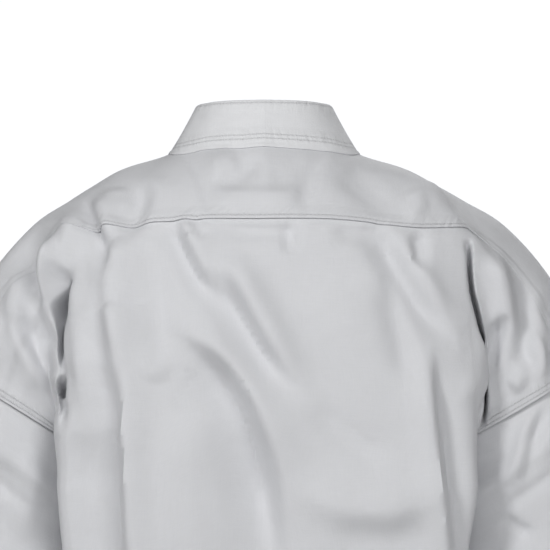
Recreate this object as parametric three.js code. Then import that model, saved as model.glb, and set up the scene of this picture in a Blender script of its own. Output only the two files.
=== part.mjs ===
// Karate gi jacket, worn on a hollow figure: back panel, shoulder yoke, two wrapped fronts, two sleeves,
// one lapel band from hem to hem round the neck, and the outer ties knotted on the right hip.
// Millimetres. +Z is up, the front faces -Y and the wearer's left is +X.
// The origin lies between the shoulders, level with the points where the shoulder line meets the neck.
import * as THREE from "three";

// Rows of numbers as objects, under one line of column names.
const table = (names, ...rows) =>
  rows.map((row) => Object.fromEntries(names.split(" ").map((name, i) => [name, row[i]])));

// Walls and clearances
const CLOTH_WALL = 2;
const BAND_WALL = 3;
const LAPEL_GAP = 0.5; // each side of the line where a front meets the band
const WRAP_LIFT = 7; // the left front lies this far outside the right one

// Heights and lengths
const ARMPIT_Z = -258;
const HEM_Z = -745;
const VENT_TOP_Z = -600;
const VENT_OPENING = 0.035; // how far each side edge draws back at the hem, as a share of the half panel

// Sections from the centre line (p 0) to the sleeve seam (p 1).
// top: the shoulder line. ring: where the section meets the body's top ring. backY, frontY: its depth.
// wrap: 0 where the section falls straight to the waist, 1 where it closes round the arm.
// yokeBack, yokeFront: where the yoke's edges cross it, from 0 at the shoulder line to 1 at the ring.
const SECTIONS = table(
  "p topX topZ ringX ringZ backY frontY wrap yokeBack yokeFront",
  [0.0, 0, 26, 0, -290, 118, 112, 0, 0.414, 0.1],
  [0.2, 48, 14, 60, -290, 118, 111, 0, 0.383, 0.1],
  [0.35, 83, -3, 102, -290, 115, 106, 0, 0.344, 0.1],
  [0.5, 122, -15.5, 143, -290, 107, 98, 0, 0.322, 0.1],
  [0.62, 150, -31, 171, -290, 94, 86, 0, 0.275, 0.1],
  [0.7, 170, -43, 179, -288, 80, 74, 0.03, 0.237, 0.11],
  [0.8, 204, -65, 170, -282, 64, 60, 0.3, 0.24, 0.14],
  [0.9, 243, -110, 161, -271, 56, 54, 0.65, 0.25, 0.17],
  [1.0, 285, -182, 157, -258, 52, 50, 1, 0.25, 0.2],
);

// Rings of the body below the armpit, to which ringX and the depths above are scaled.
// fold: half width at the back fold. side: half width at the side seam.
const RINGS = table(
  "z fold side back front",
  [-258, 179, 157, 118, 112],
  [-310, 176, 147, 118, 113],
  [-350, 173, 147, 116, 112],
  [-450, 167, 158, 108, 107],
  [-600, 178, 180, 118, 112],
  [-745, 188, 192, 124, 118],
);

// The lapel band on the left front. q: height, as for body(). seamX: its sewn edge. freeX: its free edge.
const LAPEL = table(
  "q seamX freeX",
  [0.1, 81, 55],
  [0.2, 82, 46],
  [0.3, 82, 38],
  [0.4, 78, 30],
  [0.5, 69, 20],
  [0.6, 58, 9],
  [0.7, 46, -3],
  [0.8, 32, -17],
  [0.9, 18, -31],
  [1.0, 3, -46],
  [1.15, -25, -72],
  [1.3, -46, -92],
  [1.5, -54, -100],
  [2.0, -58, -104],
);

// The standing part of the band, from the centre back to the front of the neck. p, g: its sewn edge on
// the neckline, g positive behind the shoulder line. free: its top edge.
const NECK = table(
  "s p g freeX freeY freeZ",
  [0, 0, 0.17, 0, 38, 44],
  [0.3, 0.145, 0.14, 27, 33, 43.5],
  [0.55, 0.26, 0.093, 46, 19, 42],
  [0.8, 0.325, 0.03, 57, -6, 38],
  [1, 0.345, -0.1, 55, -46, 20],
);
const NECK_PART = 0.2; // share of the half band's run that stands round the neck
const LAY_DOWN = 0.14; // share over which it turns from standing to lying on the chest
const STANDING_LIFT = 1.8; // clearance of the standing band's edge over the yoke
const CHEST_ROWS = 1.15; // above 1, rows lie closer together at the top of the chest
const HALF_BAND = 620; // length of half the band
const NECK_FALL = new THREE.Vector3(-0.16, -0.42, -0.9); // how the free edge falls from the neck

// Sleeve sections. run: distance from the sleeve seam down the arm. half: half width.
// back, front: half depths. tilt: angle of the section above level, in degrees.
// inward: shift towards the body. forward: shift to the front.
const SLEEVE = table(
  "run half back front tilt inward forward",
  [-4, 70.6, 48.4, 46.4, 30.6, 0, 0],
  [0, 70.8, 48.4, 46.4, 30.6, 0, 0],
  [25, 75, 52, 50, 28, 0.5, 0],
  [70, 81, 52, 50, 24, 3, 2],
  [130, 84, 48, 48, 19, 6, 6],
  [220, 78, 47, 47, 17, 5, 16],
  [300, 70, 48, 48, 17, 2, 28],
  [352, 64, 48, 48, 17, 0, 36],
);
const ARM_ANGLE = THREE.MathUtils.degToRad(17); // of the hanging arm, from the vertical
const ARM_ROUND = 60; // radius at which a fold's reach round the arm is measured
const SEAM_CLEAR = { from: 10, to: 40 }; // folds begin this far below the sleeve seam

// Folds fade out towards the sleeve seam, by section, and towards the shoulder line, by height.
const FOLD_FADE = { section: 0.74, gone: 0.84, height: 0.12, full: 0.3 };
// The left front's lift grows below the yoke and is gone at the side.
const WRAP = { starts: 0.25, full: 0.5, section: 0.62, gone: 0.8 };

// The deep crease between the back fold and the sleeve
const CREASE = { p: 0.8, spread: 0.08, depth: 4, starts: 0.3, full: 0.62, ends: 1.3 };

// Largest folds: each a straight soft ridge, or a trough where height is negative, seen square on.
const BACK_FOLDS = table(
  "x1 z1 x2 z2 width height",
  [78, -64, 45, -125, 13, -3],
  [112, -76, 107, -380, 14, 5],
  [124, -150, 126, -420, 13, -5],
  [161, -105, 158, -205, 13, 3],
  [30, -92, -20, -205, 14, 4],
  [40, -110, -2, -195, 14, -4],
  [71, -158, 12, -203, 15, 5],
  [12, -203, -24, -290, 16, 6],
  [66, -178, 24, -232, 16, -5],
  [24, -232, -8, -345, 20, -7],
  [-92, -66, -146, -168, 13, -5],
  [-78, -80, -120, -160, 14, 4],
  [-98, -114, -121, -195, 16, -3],
  [-161, -100, -159, -205, 13, 3],
  [-132, -195, -140, -345, 12, 5],
  [-146, -200, -158, -350, 11, -5],
  [-57, -288, -138, -300, 14, 5],
  [-60, -312, -130, -326, 14, -4],
  [70, -420, 92, -745, 26, -7],
  [14, -410, 4, -745, 28, 7],
  [-58, -420, -84, -745, 26, -7],
  [-118, -430, -134, -745, 24, 5],
);
const FRONT_FOLDS = table(
  "x1 z1 x2 z2 width height",
  [120, -90, 60, -230, 16, 5],
  [-120, -90, -60, -230, 16, 5],
  [150, -190, 40, -400, 20, -6],
  [-150, -190, -110, -400, 18, -6],
  [120, -450, 140, -745, 24, 7],
  [40, -480, 45, -745, 24, -6],
  [-105, -470, -125, -745, 30, 4],
);
// Sleeve folds run round the arm. turn: where the middle lies, in degrees from the outer edge to the back.
const SLEEVE_FOLDS = table(
  "run slope turn reach width height",
  [45, 0.25, 110, 60, 12, 5],
  [120, -0.3, 130, 70, 14, 5],
  [170, 0.3, 240, 70, 14, 5],
  [205, 0.2, 100, 80, 13, -5],
  [262, -0.2, 180, 90, 13, 4],
);

// Ties
const TAPE = { width: 20, gathered: 9, wall: 1.8, height: -428, standOff: 2.2, below: 0.8 };
const KNOT = { p: -0.56, width: 28, height: 25, depth: 15, standOff: -0.2 };
const LEAD_GATHERS = 0.6; // share of a lead where it begins to draw in towards the knot
const LEADS = {
  over: { p1: -0.29, p2: -0.497, lift1: 11, lift2: 4 },
  side: { p1: -0.9, p2: -0.628, lift1: 1, lift2: 4 },
};
// A hanging end leaves the knot at `lift`, has settled on the cloth and spread out at these shares of it,
// and turns with its lean.
const TAIL = { lift: 6, settles: 0.4, spreads: 0.25, turnByLean: 160 };
const TAILS = {
  over: { p: -0.525, lean: 0.06, length: 0.31 },
  side: { p: -0.592, lean: -0.035, length: 0.26 },
};

// Grid counts
const COUNT = { across: 40, upperRows: 12, lowerRows: 13, yokeRows: 6, frontAcross: 20 };
const SLEEVE_COUNT = { round: 30, along: 13 };
const BAND_COUNT = { neck: 9, chest: 24, across: 3 };

const lerp = THREE.MathUtils.lerp;
const smoothstep = (from, to, x) => THREE.MathUtils.smoothstep(x, from, to);
const bump = (x, centre, spread) => Math.exp(-(((x - centre) / spread) ** 2));

// A smooth curve through one column of a table whose rows are in order of `key`.
function column(rows, key, name) {
  const slope = (i, j) => (rows[j][name] - rows[i][name]) / (rows[j][key] - rows[i][key]);
  const last = rows.length - 1;
  return (at) => {
    const x = THREE.MathUtils.clamp(at, rows[0][key], rows[last][key]);
    const i = Math.min(last - 1, Math.max(0, rows.findIndex((row) => row[key] >= x) - 1));
    const span = rows[i + 1][key] - rows[i][key];
    const t = (x - rows[i][key]) / span;
    const from = i === 0 ? slope(0, 1) : slope(i - 1, i + 1);
    const to = i + 1 === last ? slope(last - 1, last) : slope(i, i + 2);
    const rise = rows[i + 1][name] - rows[i][name];
    return (
      rows[i][name] +
      rise * t * t * (3 - 2 * t) +
      span * t * (1 - t) * (from * (1 - t) - to * t)
    );
  };
}

const columns = (rows, key) =>
  Object.fromEntries(Object.keys(rows[0]).map((name) => [name, column(rows, key, name)]));
const section = columns(SECTIONS, "p");
const ring = columns(RINGS, "z");
const lapel = columns(LAPEL, "q");
const neck = columns(NECK, "s");
const sleeve = columns(SLEEVE, "run");

// Height of a table's folds at a place seen square on: each fades away from its line and past its ends.
function foldHeight(folds, x, z) {
  let sum = 0;
  for (const fold of folds) {
    const run = new THREE.Vector2(fold.x2 - fold.x1, fold.z2 - fold.z1);
    const to = new THREE.Vector2(x - fold.x1, z - fold.z1);
    const along = to.dot(run) / run.lengthSq();
    const off = to.cross(run) / run.length();
    const past = Math.max(0, -along, along - 1) * run.length();
    sum += fold.height * Math.exp(-(off ** 2 + past ** 2) / fold.width ** 2);
  }
  return sum;
}

// The garment's outer surface. p: -1 to 1, from the right sleeve or side seam to the left one.
// q: 0 at the shoulder line, 1 at the body's top ring, 2 at the hem. face: 1 behind, -1 in front.
function body(p, q, face) {
  const a = Math.abs(p);
  const side = Math.sign(p);
  const depth = face > 0 ? section.backY(a) : section.frontY(a);
  const wrap = section.wrap(a);
  let x;
  let y;
  let z;
  if (q <= 1) {
    const straight = q ** 1.5;
    const drop = lerp(straight, (1 - Math.cos(Math.PI * q)) / 2, wrap);
    const round = Math.sqrt(1 - (1 - straight) ** 4);
    x = lerp(section.topX(a), section.ringX(a), drop);
    z = lerp(section.topZ(a), section.ringZ(a), drop);
    y = depth * lerp(round, Math.sin(Math.PI * q), wrap);
  } else {
    const top = section.ringZ(a);
    z = lerp(top, HEM_Z, q - 1);
    const atSide = smoothstep(0.7, 1, a);
    const widen = lerp(ring.fold(z) / ring.fold(top), ring.side(z) / ring.side(top), atSide);
    const deepen = face > 0 ? ring.back(z) / ring.back(top) : ring.front(z) / ring.front(top);
    x = section.ringX(a) * widen;
    y = depth * (1 - wrap) * deepen;
  }
  const inCrease = smoothstep(CREASE.starts, CREASE.full, q) * (1 - smoothstep(1, CREASE.ends, q));
  const crease = inCrease * bump(a, CREASE.p, CREASE.spread) * (1 - smoothstep(0.85, 1, a));
  y -= CREASE.depth * crease;
  return new THREE.Vector3(side * x, face * y, z);
}

// The same past a side seam, where the surface goes on round to the other face.
function bodyAround(p, q, face) {
  if (Math.abs(p) <= 1) return body(p, q, face);
  const side = Math.sign(p);
  return q >= 1 ? body(side * (2 - Math.abs(p)), q, -face) : body(side, q, face);
}

// Outward unit normal of body(), from its neighbours. At the armpit it is the mean of the two sides.
const STEP = 0.004;
function bodyNormal(p, q, face) {
  if (Math.abs(q - 1) < STEP) {
    const above = bodyNormal(p, 1 - 2 * STEP, face);
    return above.add(bodyNormal(p, 1 + 2 * STEP, face)).normalize();
  }
  const across = bodyAround(p + STEP, q, face).sub(bodyAround(p - STEP, q, face));
  const overTop = q - STEP < 0;
  const upper = overTop ? body(p, STEP - q, -face) : bodyAround(p, q - STEP, face);
  const lower = bodyAround(p, Math.min(2, q + STEP), face);
  return across.cross(lower.sub(upper)).multiplyScalar(face).normalize();
}

// A place on the cloth, `lift` outside body(), with the folds of its face.
function cloth(p, q, face, lift = 0) {
  const place = body(p, q, face);
  const normal = bodyNormal(p, q, face);
  const folds = face > 0 ? BACK_FOLDS : FRONT_FOLDS;
  const atArm = smoothstep(FOLD_FADE.section, FOLD_FADE.gone, Math.abs(p));
  const nearTop = smoothstep(FOLD_FADE.height, FOLD_FADE.full, q);
  const height = foldHeight(folds, place.x, place.z) * (1 - atArm) * nearTop;
  return { place: place.addScaledVector(normal, lift + height), normal };
}

// How far the left front stands off the right one: nothing at the yoke and the side, all where they lap.
function wrapLift(p, q) {
  return WRAP_LIFT * smoothstep(WRAP.starts, WRAP.full, q) * (1 - smoothstep(WRAP.section, WRAP.gone, p));
}

// The section p whose front lies at x, at height q, by halving.
function sectionAt(x, q) {
  let low = 0;
  let high = 0.69;
  for (let i = 0; i < 24; i++) {
    const mid = (low + high) / 2;
    if (body(mid, q, -1).x < Math.abs(x)) low = mid;
    else high = mid;
  }
  return Math.sign(x) * low;
}

// A closed wall from a grid of places and outward normals. point(i, j) gives { place, normal }, for i up
// to `across` and j up to `along`. The wall reaches `outer` outside each place and `inner` inside it.
// `closed` joins the last column to the first, as round a sleeve.
function wall(across, along, point, inner, outer = 0, closed = false) {
  const wide = closed ? across : across + 1;
  const positions = [];
  for (let j = 0; j <= along; j++) {
    for (let i = 0; i < wide; i++) {
      const { place, normal } = point(i, j);
      for (const reach of [outer, -inner]) {
        positions.push(
          place.x + normal.x * reach,
          place.y + normal.y * reach,
          place.z + normal.z * reach,
        );
      }
    }
  }
  const at = (i, j, face) => 2 * (j * wide + (i % wide)) + face;
  const index = [];
  const apart = (a, b) => Math.hypot(...[0, 1, 2].map((k) => positions[3 * a + k] - positions[3 * b + k]));
  // Each quad is split along its shorter diagonal.
  const quad = (a, b, c, d) => {
    if (apart(a, c) <= apart(b, d)) index.push(a, b, c, a, c, d);
    else index.push(b, c, d, b, d, a);
  };
  for (let j = 0; j < along; j++) {
    for (let i = 0; i < across; i++) {
      quad(at(i, j, 0), at(i, j + 1, 0), at(i + 1, j + 1, 0), at(i + 1, j, 0));
      quad(at(i, j, 1), at(i + 1, j, 1), at(i + 1, j + 1, 1), at(i, j + 1, 1));
    }
  }
  for (let i = 0; i < across; i++) {
    quad(at(i, 0, 0), at(i + 1, 0, 0), at(i + 1, 0, 1), at(i, 0, 1));
    quad(at(i, along, 0), at(i, along, 1), at(i + 1, along, 1), at(i + 1, along, 0));
  }
  for (let j = 0; j < along && !closed; j++) {
    quad(at(0, j, 0), at(0, j, 1), at(0, j + 1, 1), at(0, j + 1, 0));
    quad(at(across, j, 0), at(across, j + 1, 0), at(across, j + 1, 1), at(across, j, 1));
  }
  const geometry = new THREE.BufferGeometry();
  geometry.setAttribute("position", new THREE.Float32BufferAttribute(positions, 3));
  geometry.setIndex(index);
  return facingOut(geometry);
}

// Turns every face round if the solid is inside out.
function facingOut(geometry) {
  const { array } = geometry.attributes.position;
  const { index } = geometry;
  const corner = (i) => new THREE.Vector3().fromArray(array, 3 * index.array[i]);
  let volume = 0;
  for (let i = 0; i < index.count; i += 3) volume += corner(i).dot(corner(i + 1).cross(corner(i + 2)));
  if (volume < 0) {
    for (let i = 0; i < index.count; i += 3) {
      [index.array[i + 1], index.array[i + 2]] = [index.array[i + 2], index.array[i + 1]];
    }
  }
  geometry.computeVertexNormals();
  return geometry;
}

// Height q of each row of a panel that goes from `start` at its top edge, through the armpit, to the hem.
function rowHeight(j, start) {
  const upper = COUNT.upperRows;
  return j <= upper ? lerp(start, 1, j / upper) : 1 + (j - upper) / COUNT.lowerRows;
}

// Where a side edge lies at height q: at the seam, and drawn back in the vent below it.
function sideEdge(q) {
  const z = lerp(ARMPIT_Z, HEM_Z, Math.max(0, q - 1));
  return 1 - 0.0015 - VENT_OPENING * (1 - smoothstep(HEM_Z, VENT_TOP_Z, z));
}

const PANEL_ROWS = COUNT.upperRows + COUNT.lowerRows;
const SEAM_SHARE = 0.0016; // about 0.4 mm, as a share of the way from shoulder to armpit

// The back panel and the yoke share their columns along the seam between them.
// s: -1 to 1 from the right sleeve or side seam to the left one.
const YOKE_NECK = 0.5; // share of the columns that end at the neckline
const YOKE_BELOW_NECK = 0.62; // the section that the last of them runs to
function seamColumn(s, edge) {
  return s < YOKE_NECK
    ? lerp(0, YOKE_BELOW_NECK, s / YOKE_NECK)
    : lerp(YOKE_BELOW_NECK, edge, (s - YOKE_NECK) / (1 - YOKE_NECK));
}

function backPanel() {
  return wall(
    COUNT.across,
    PANEL_ROWS,
    (i, j) => {
      const s = (2 * i) / COUNT.across - 1;
      const start = section.yokeBack(seamColumn(Math.abs(s), sideEdge(0))) + SEAM_SHARE;
      const q = rowHeight(j, start);
      return cloth(Math.sign(s) * seamColumn(Math.abs(s), sideEdge(q)), q, 1);
    },
    CLOTH_WALL,
  );
}

// The yoke is one piece from the back seam, over both shoulders, to the front seam, less the neckline.
// Its upper edge follows the neckline, then the front seam.
function yokeUpper(s) {
  if (s < YOKE_NECK) return { p: neck.p(s / YOKE_NECK), g: neck.g(s / YOKE_NECK) };
  const p = lerp(neck.p(1), sideEdge(0), (s - YOKE_NECK) / (1 - YOKE_NECK));
  return { p, g: -section.yokeFront(p) };
}
function yokeLower(s) {
  const p = seamColumn(s, sideEdge(0));
  return { p, g: section.yokeBack(p) - SEAM_SHARE };
}
function yoke() {
  return wall(
    COUNT.across,
    COUNT.yokeRows,
    (i, j) => {
      const s = (2 * i) / COUNT.across - 1;
      const upper = yokeUpper(Math.abs(s));
      const lower = yokeLower(Math.abs(s));
      const t = j / COUNT.yokeRows;
      const g = lerp(upper.g, lower.g, t);
      const p = Math.sign(s) * lerp(upper.p, lower.p, t);
      return cloth(p, Math.abs(g), g < 0 ? -1 : 1);
    },
    CLOTH_WALL,
  );
}

// One front, from the side seam to the lapel band's sewn edge. side: 1 the left, on top, -1 the right.
function frontPanel(side) {
  return wall(
    COUNT.frontAcross,
    PANEL_ROWS,
    (i, j) => {
      const share = i / COUNT.frontAcross;
      const corner = neck.p(1) + 2 * SEAM_SHARE;
      const start = section.yokeFront(lerp(1, corner, share)) + 3 * SEAM_SHARE;
      const q = rowHeight(j, start);
      const p = lerp(sideEdge(q), sectionAt(lapel.seamX(q) + LAPEL_GAP, q), share);
      return cloth(side * p, q, -1, side > 0 ? wrapLift(p, q) : 0);
    },
    CLOTH_WALL,
  );
}

// A place on the half band. s: 0 at the centre back, 1 at the hem. r: 0 at the sewn edge, 1 at the free edge.
function bandPlace(s, r, side) {
  const onChest = THREE.MathUtils.clamp((s - NECK_PART) / (1 - NECK_PART), 0, 1);
  const q = lerp(LAPEL[0].q, 2, onChest ** CHEST_ROWS);
  if (s <= NECK_PART) {
    const at = s / NECK_PART;
    const sewn = body(neck.p(at), Math.abs(neck.g(at)), neck.g(at) < 0 ? -1 : 1);
    const free = new THREE.Vector3(neck.freeX(at), neck.freeY(at), neck.freeZ(at));
    return standing(sewn, free, r, 0, side);
  }
  const p = (x) => sectionAt(x, q);
  const lifted = (x) => {
    const at = p(x);
    return cloth(side * at, q, -1, side > 0 ? wrapLift(at, q) : 0).place;
  };
  const lying = lifted(lerp(lapel.seamX(q) - LAPEL_GAP, lapel.freeX(q), r));
  lying.x *= side;
  const laid = smoothstep(0, LAY_DOWN, s - NECK_PART);
  const top = new THREE.Vector3(neck.freeX(1), neck.freeY(1), neck.freeZ(1));
  const slope = NECK_FALL.clone().multiplyScalar((s - NECK_PART) * HALF_BAND);
  const sewn = lifted(lapel.seamX(q) - LAPEL_GAP);
  sewn.x *= side;
  const upright = standing(sewn, top.add(slope), r, laid, 1);
  const place = upright.lerp(lying, laid);
  place.x *= side;
  return place;
}

// A point between the sewn and free edges of a standing strip, clear of the cloth that it is sewn to.
function standing(sewn, free, r, laid, side) {
  const rise = free.clone().sub(sewn);
  const clear = (STANDING_LIFT * (1 - laid)) / rise.length();
  const place = sewn.clone().addScaledVector(rise, lerp(clear, 1, r));
  place.x *= side;
  return place;
}

function band() {
  const half = BAND_COUNT.neck + BAND_COUNT.chest;
  const shareAt = (k) =>
    k <= BAND_COUNT.neck
      ? (NECK_PART * k) / BAND_COUNT.neck
      : lerp(NECK_PART, 1, (k - BAND_COUNT.neck) / BAND_COUNT.chest);
  return wall(
    BAND_COUNT.across,
    2 * half,
    (i, j) => {
      const side = j < half ? -1 : 1;
      const s = shareAt(Math.abs(j - half));
      const r = i / BAND_COUNT.across;
      const place = bandPlace(s, r, side);
      const small = 0.002;
      const ahead = bandPlace(Math.min(1, s + small), r, side);
      const behind = s < small ? bandPlace(small - s, r, -side) : bandPlace(s - small, r, side);
      const across = bandPlace(s, 1, side).sub(bandPlace(s, 0, side));
      const normal = across.cross(ahead.sub(behind)).multiplyScalar(side).normalize();
      return { place, normal };
    },
    BAND_WALL / 2,
    BAND_WALL / 2,
  );
}

// Outer surface of a sleeve. run: distance down the arm. turn: angle from the outer edge towards the back.
const SEAM_CENTRE = new THREE.Vector3(
  (section.topX(1) + section.ringX(1)) / 2,
  0,
  (section.topZ(1) + ARMPIT_Z) / 2,
);
function sleevePlace(run, turn) {
  const tilt = THREE.MathUtils.degToRad(sleeve.tilt(run));
  const half = sleeve.half(run);
  const depth = Math.sin(turn) > 0 ? sleeve.back(run) : sleeve.front(run);
  const across = half * Math.cos(turn) - sleeve.inward(run);
  return new THREE.Vector3(
    SEAM_CENTRE.x + Math.sin(ARM_ANGLE) * run + Math.cos(tilt) * across,
    depth * Math.sin(turn) - sleeve.forward(run),
    SEAM_CENTRE.z - Math.cos(ARM_ANGLE) * run + Math.sin(tilt) * across,
  );
}
function sleeveFold(run, turn) {
  let sum = 0;
  for (const fold of SLEEVE_FOLDS) {
    const middle = THREE.MathUtils.degToRad(fold.turn);
    const away = THREE.MathUtils.euclideanModulo(turn - middle + Math.PI, 2 * Math.PI) - Math.PI;
    const round = away * ARM_ROUND;
    const off = run - fold.run - fold.slope * round;
    sum += fold.height * bump(off, 0, fold.width) * bump(round, 0, fold.reach);
  }
  return sum * smoothstep(SEAM_CLEAR.from, SEAM_CLEAR.to, run);
}

function sleeveTube(side) {
  const first = SLEEVE[0].run;
  const last = SLEEVE[SLEEVE.length - 1].run;
  return wall(
    SLEEVE_COUNT.round,
    SLEEVE_COUNT.along + 1,
    (i, j) => {
      const turn = (2 * Math.PI * i) / SLEEVE_COUNT.round;
      const run = j === 0 ? first : lerp(0, last, (j - 1) / SLEEVE_COUNT.along);
      const place = sleevePlace(run, turn);
      const round = sleevePlace(run, turn + 0.01).sub(sleevePlace(run, turn - 0.01));
      const down = sleevePlace(run + 1, turn).sub(sleevePlace(run - 1, turn));
      const normal = round.cross(down).negate().normalize();
      place.addScaledVector(normal, sleeveFold(run, turn));
      place.x *= side;
      normal.x *= side;
      return { place, normal };
    },
    CLOTH_WALL,
    0,
    true,
  );
}

// A flat tape that lies `lift` outside the front of the body, from t 0 to 1, drawn in to a knot at one end.
// at(t) gives its middle as { p, q, lift }. slant(t) turns its width out of upright, in degrees.
// gathered(t) is 1 at the knot and 0 where the tape is full width.
const FRONT_TOP_Z = section.ringZ(Math.abs(KNOT.p));
const TAPE_Q = 1 + (TAPE.height - FRONT_TOP_Z) / (HEM_Z - FRONT_TOP_Z);
const UP = new THREE.Vector3(0, 0, 1);
function tape(count, at, slant, gathered) {
  return wall(
    1,
    count,
    (i, j) => {
      const t = j / count;
      const { p, q, lift } = at(t);
      const { place, normal } = cloth(p, q, -1, lift);
      const wide = lerp(TAPE.width, TAPE.gathered, gathered(t));
      const turned = THREE.MathUtils.degToRad(slant(t));
      const widthwise = UP.clone().projectOnPlane(normal).normalize().applyAxisAngle(normal, turned);
      return { place: place.addScaledVector(widthwise, (i - 0.5) * wide), normal };
    },
    0,
    TAPE.wall,
  );
}

// Lead of a tie across the front, from section p1 to p2 at the knot.
function tieLead(p1, p2, lift1, lift2) {
  return tape(
    6,
    (t) => ({ p: lerp(p1, p2, t), q: TAPE_Q, lift: lerp(lift1, lift2, t) }),
    () => 0,
    (t) => smoothstep(LEAD_GATHERS, 1, t),
  );
}

// Hanging end of a tie, from under the knot. lean: how far it drifts sideways.
// length: share of the height from the armpit to the hem.
function tieTail(p, lean, length) {
  const start = TAPE_Q + (KNOT.height / 2 + TAPE.below) / (FRONT_TOP_Z - HEM_Z);
  const lift = (t) => lerp(TAIL.lift, TAPE.standOff, smoothstep(0, TAIL.settles, t));
  return tape(
    8,
    (t) => ({ p: p + lean * t, q: start + length * t, lift: lift(t) }),
    () => 90 - lean * TAIL.turnByLean,
    (t) => 1 - smoothstep(0, TAIL.spreads, t),
  );
}

function tieKnot() {
  const { place, normal } = cloth(KNOT.p, TAPE_Q, -1, KNOT.standOff + KNOT.depth / 2);
  const knot = new THREE.SphereGeometry(0.5, 14, 9);
  knot.deleteAttribute("uv");
  knot.deleteAttribute("normal");
  knot.scale(KNOT.width, KNOT.height, KNOT.depth);
  knot.lookAt(normal);
  knot.translate(place.x, place.y, place.z);
  knot.computeVertexNormals();
  return knot;
}

const jacket = new THREE.Group();
function sew(name, geometry, color) {
  const material = new THREE.MeshStandardMaterial({ color, roughness: 0.85, metalness: 0 });
  const mesh = new THREE.Mesh(geometry, material);
  mesh.name = name;
  jacket.add(mesh);
}

const WHITE = 0xd9dade;
const BAND_WHITE = 0xdcdde1;
sew("back_panel", backPanel(), WHITE);
sew("shoulder_yoke", yoke(), WHITE);
sew("front_left", frontPanel(1), WHITE);
sew("front_right", frontPanel(-1), WHITE);
sew("sleeve_left", sleeveTube(1), WHITE);
sew("sleeve_right", sleeveTube(-1), WHITE);
sew("lapel_band", band(), BAND_WHITE);
sew("tie_knot", tieKnot(), WHITE);
for (const [name, { p1, p2, lift1, lift2 }] of Object.entries(LEADS)) {
  sew(`tie_lead_${name}`, tieLead(p1, p2, lift1, lift2), WHITE);
}
for (const [name, { p, lean, length }] of Object.entries(TAILS)) {
  sew(`tie_end_${name}`, tieTail(p, lean, length), WHITE);
}

export default jacket;
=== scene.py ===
"""Karate gi jacket in its worn shape: the fine cloth, its folds and sewing, its cotton, light and camera.

Every surface is worked out in millimetres from the same sections and rings as the jacket's solids,
and is written to its mesh in metres. +Z is up, the front faces -Y and the wearer's left is +X.
"""

import math

import bpy
import numpy as np
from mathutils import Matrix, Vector


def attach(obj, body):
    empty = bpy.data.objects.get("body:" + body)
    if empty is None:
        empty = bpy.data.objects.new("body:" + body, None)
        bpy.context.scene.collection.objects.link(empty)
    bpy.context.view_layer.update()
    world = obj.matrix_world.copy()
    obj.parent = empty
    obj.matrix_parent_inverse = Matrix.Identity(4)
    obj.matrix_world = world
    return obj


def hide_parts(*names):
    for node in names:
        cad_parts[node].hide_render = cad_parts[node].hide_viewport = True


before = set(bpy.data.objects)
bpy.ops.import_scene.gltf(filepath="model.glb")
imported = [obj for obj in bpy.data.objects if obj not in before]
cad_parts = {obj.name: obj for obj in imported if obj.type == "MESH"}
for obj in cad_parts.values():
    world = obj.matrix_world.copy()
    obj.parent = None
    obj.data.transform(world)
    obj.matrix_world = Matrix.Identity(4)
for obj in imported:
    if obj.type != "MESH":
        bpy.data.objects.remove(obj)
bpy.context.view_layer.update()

bl_info = {
    "name": "Karate Gi Jacket",
    "version": (1, 0, 0),
    "blender": (4, 5, 0),
    "location": "3D View > Sidebar > Gi",
    "description": "Sews a karate gi jacket with its folds, stitching and ties",
    "category": "Add Mesh",
}

MM = 0.001


def table(names, *rows):
    """Rows as dictionaries, under one line of column names."""
    return [dict(zip(names.split(), row)) for row in rows]


# Sections from the centre line (p 0) to the sleeve seam (p 1). top: the shoulder line. ring: where the
# section meets the body's top ring. back_y, front_y: its depth. wrap: 0 where it falls straight to the
# waist, 1 where it closes round the arm. yoke_back, yoke_front: where the yoke's edges cross it.
SECTIONS = table(
    "p     top_x  top_z  ring_x  ring_z  back_y  front_y  wrap  yoke_back  yoke_front",
    (0.00, 0, 26, 0, -290, 118, 112, 0, 0.414, 0.10),
    (0.20, 48, 14, 60, -290, 118, 111, 0, 0.383, 0.10),
    (0.35, 83, -3, 102, -290, 115, 106, 0, 0.344, 0.10),
    (0.50, 122, -15.5, 143, -290, 107, 98, 0, 0.322, 0.10),
    (0.62, 150, -31, 171, -290, 94, 86, 0, 0.275, 0.10),
    (0.70, 170, -43, 179, -288, 80, 74, 0.03, 0.237, 0.11),
    (0.80, 204, -65, 170, -282, 64, 60, 0.30, 0.240, 0.14),
    (0.90, 243, -110, 161, -271, 56, 54, 0.65, 0.250, 0.17),
    (1.00, 285, -182, 157, -258, 52, 50, 1, 0.250, 0.20),
)

# Rings of the body below the armpit. fold: half width at the back fold. side: half width at the side seam.
RINGS = table(
    "z     fold  side  back  front",
    (-745, 188, 192, 124, 118),
    (-600, 178, 180, 118, 112),
    (-450, 167, 158, 108, 107),
    (-350, 173, 147, 116, 112),
    (-310, 176, 147, 118, 113),
    (-258, 179, 157, 118, 112),
)

# The lapel band on the left front, at height q. seam_x: its sewn edge. free_x: its free edge.
LAPEL = table(
    "q    seam_x  free_x",
    (0.10, 81, 55),
    (0.20, 82, 46),
    (0.30, 82, 38),
    (0.40, 78, 30),
    (0.50, 69, 20),
    (0.60, 58, 9),
    (0.70, 46, -3),
    (0.80, 32, -17),
    (0.90, 18, -31),
    (1.00, 3, -46),
    (1.15, -25, -72),
    (1.30, -46, -92),
    (1.50, -54, -100),
    (2.00, -58, -104),
)

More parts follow.
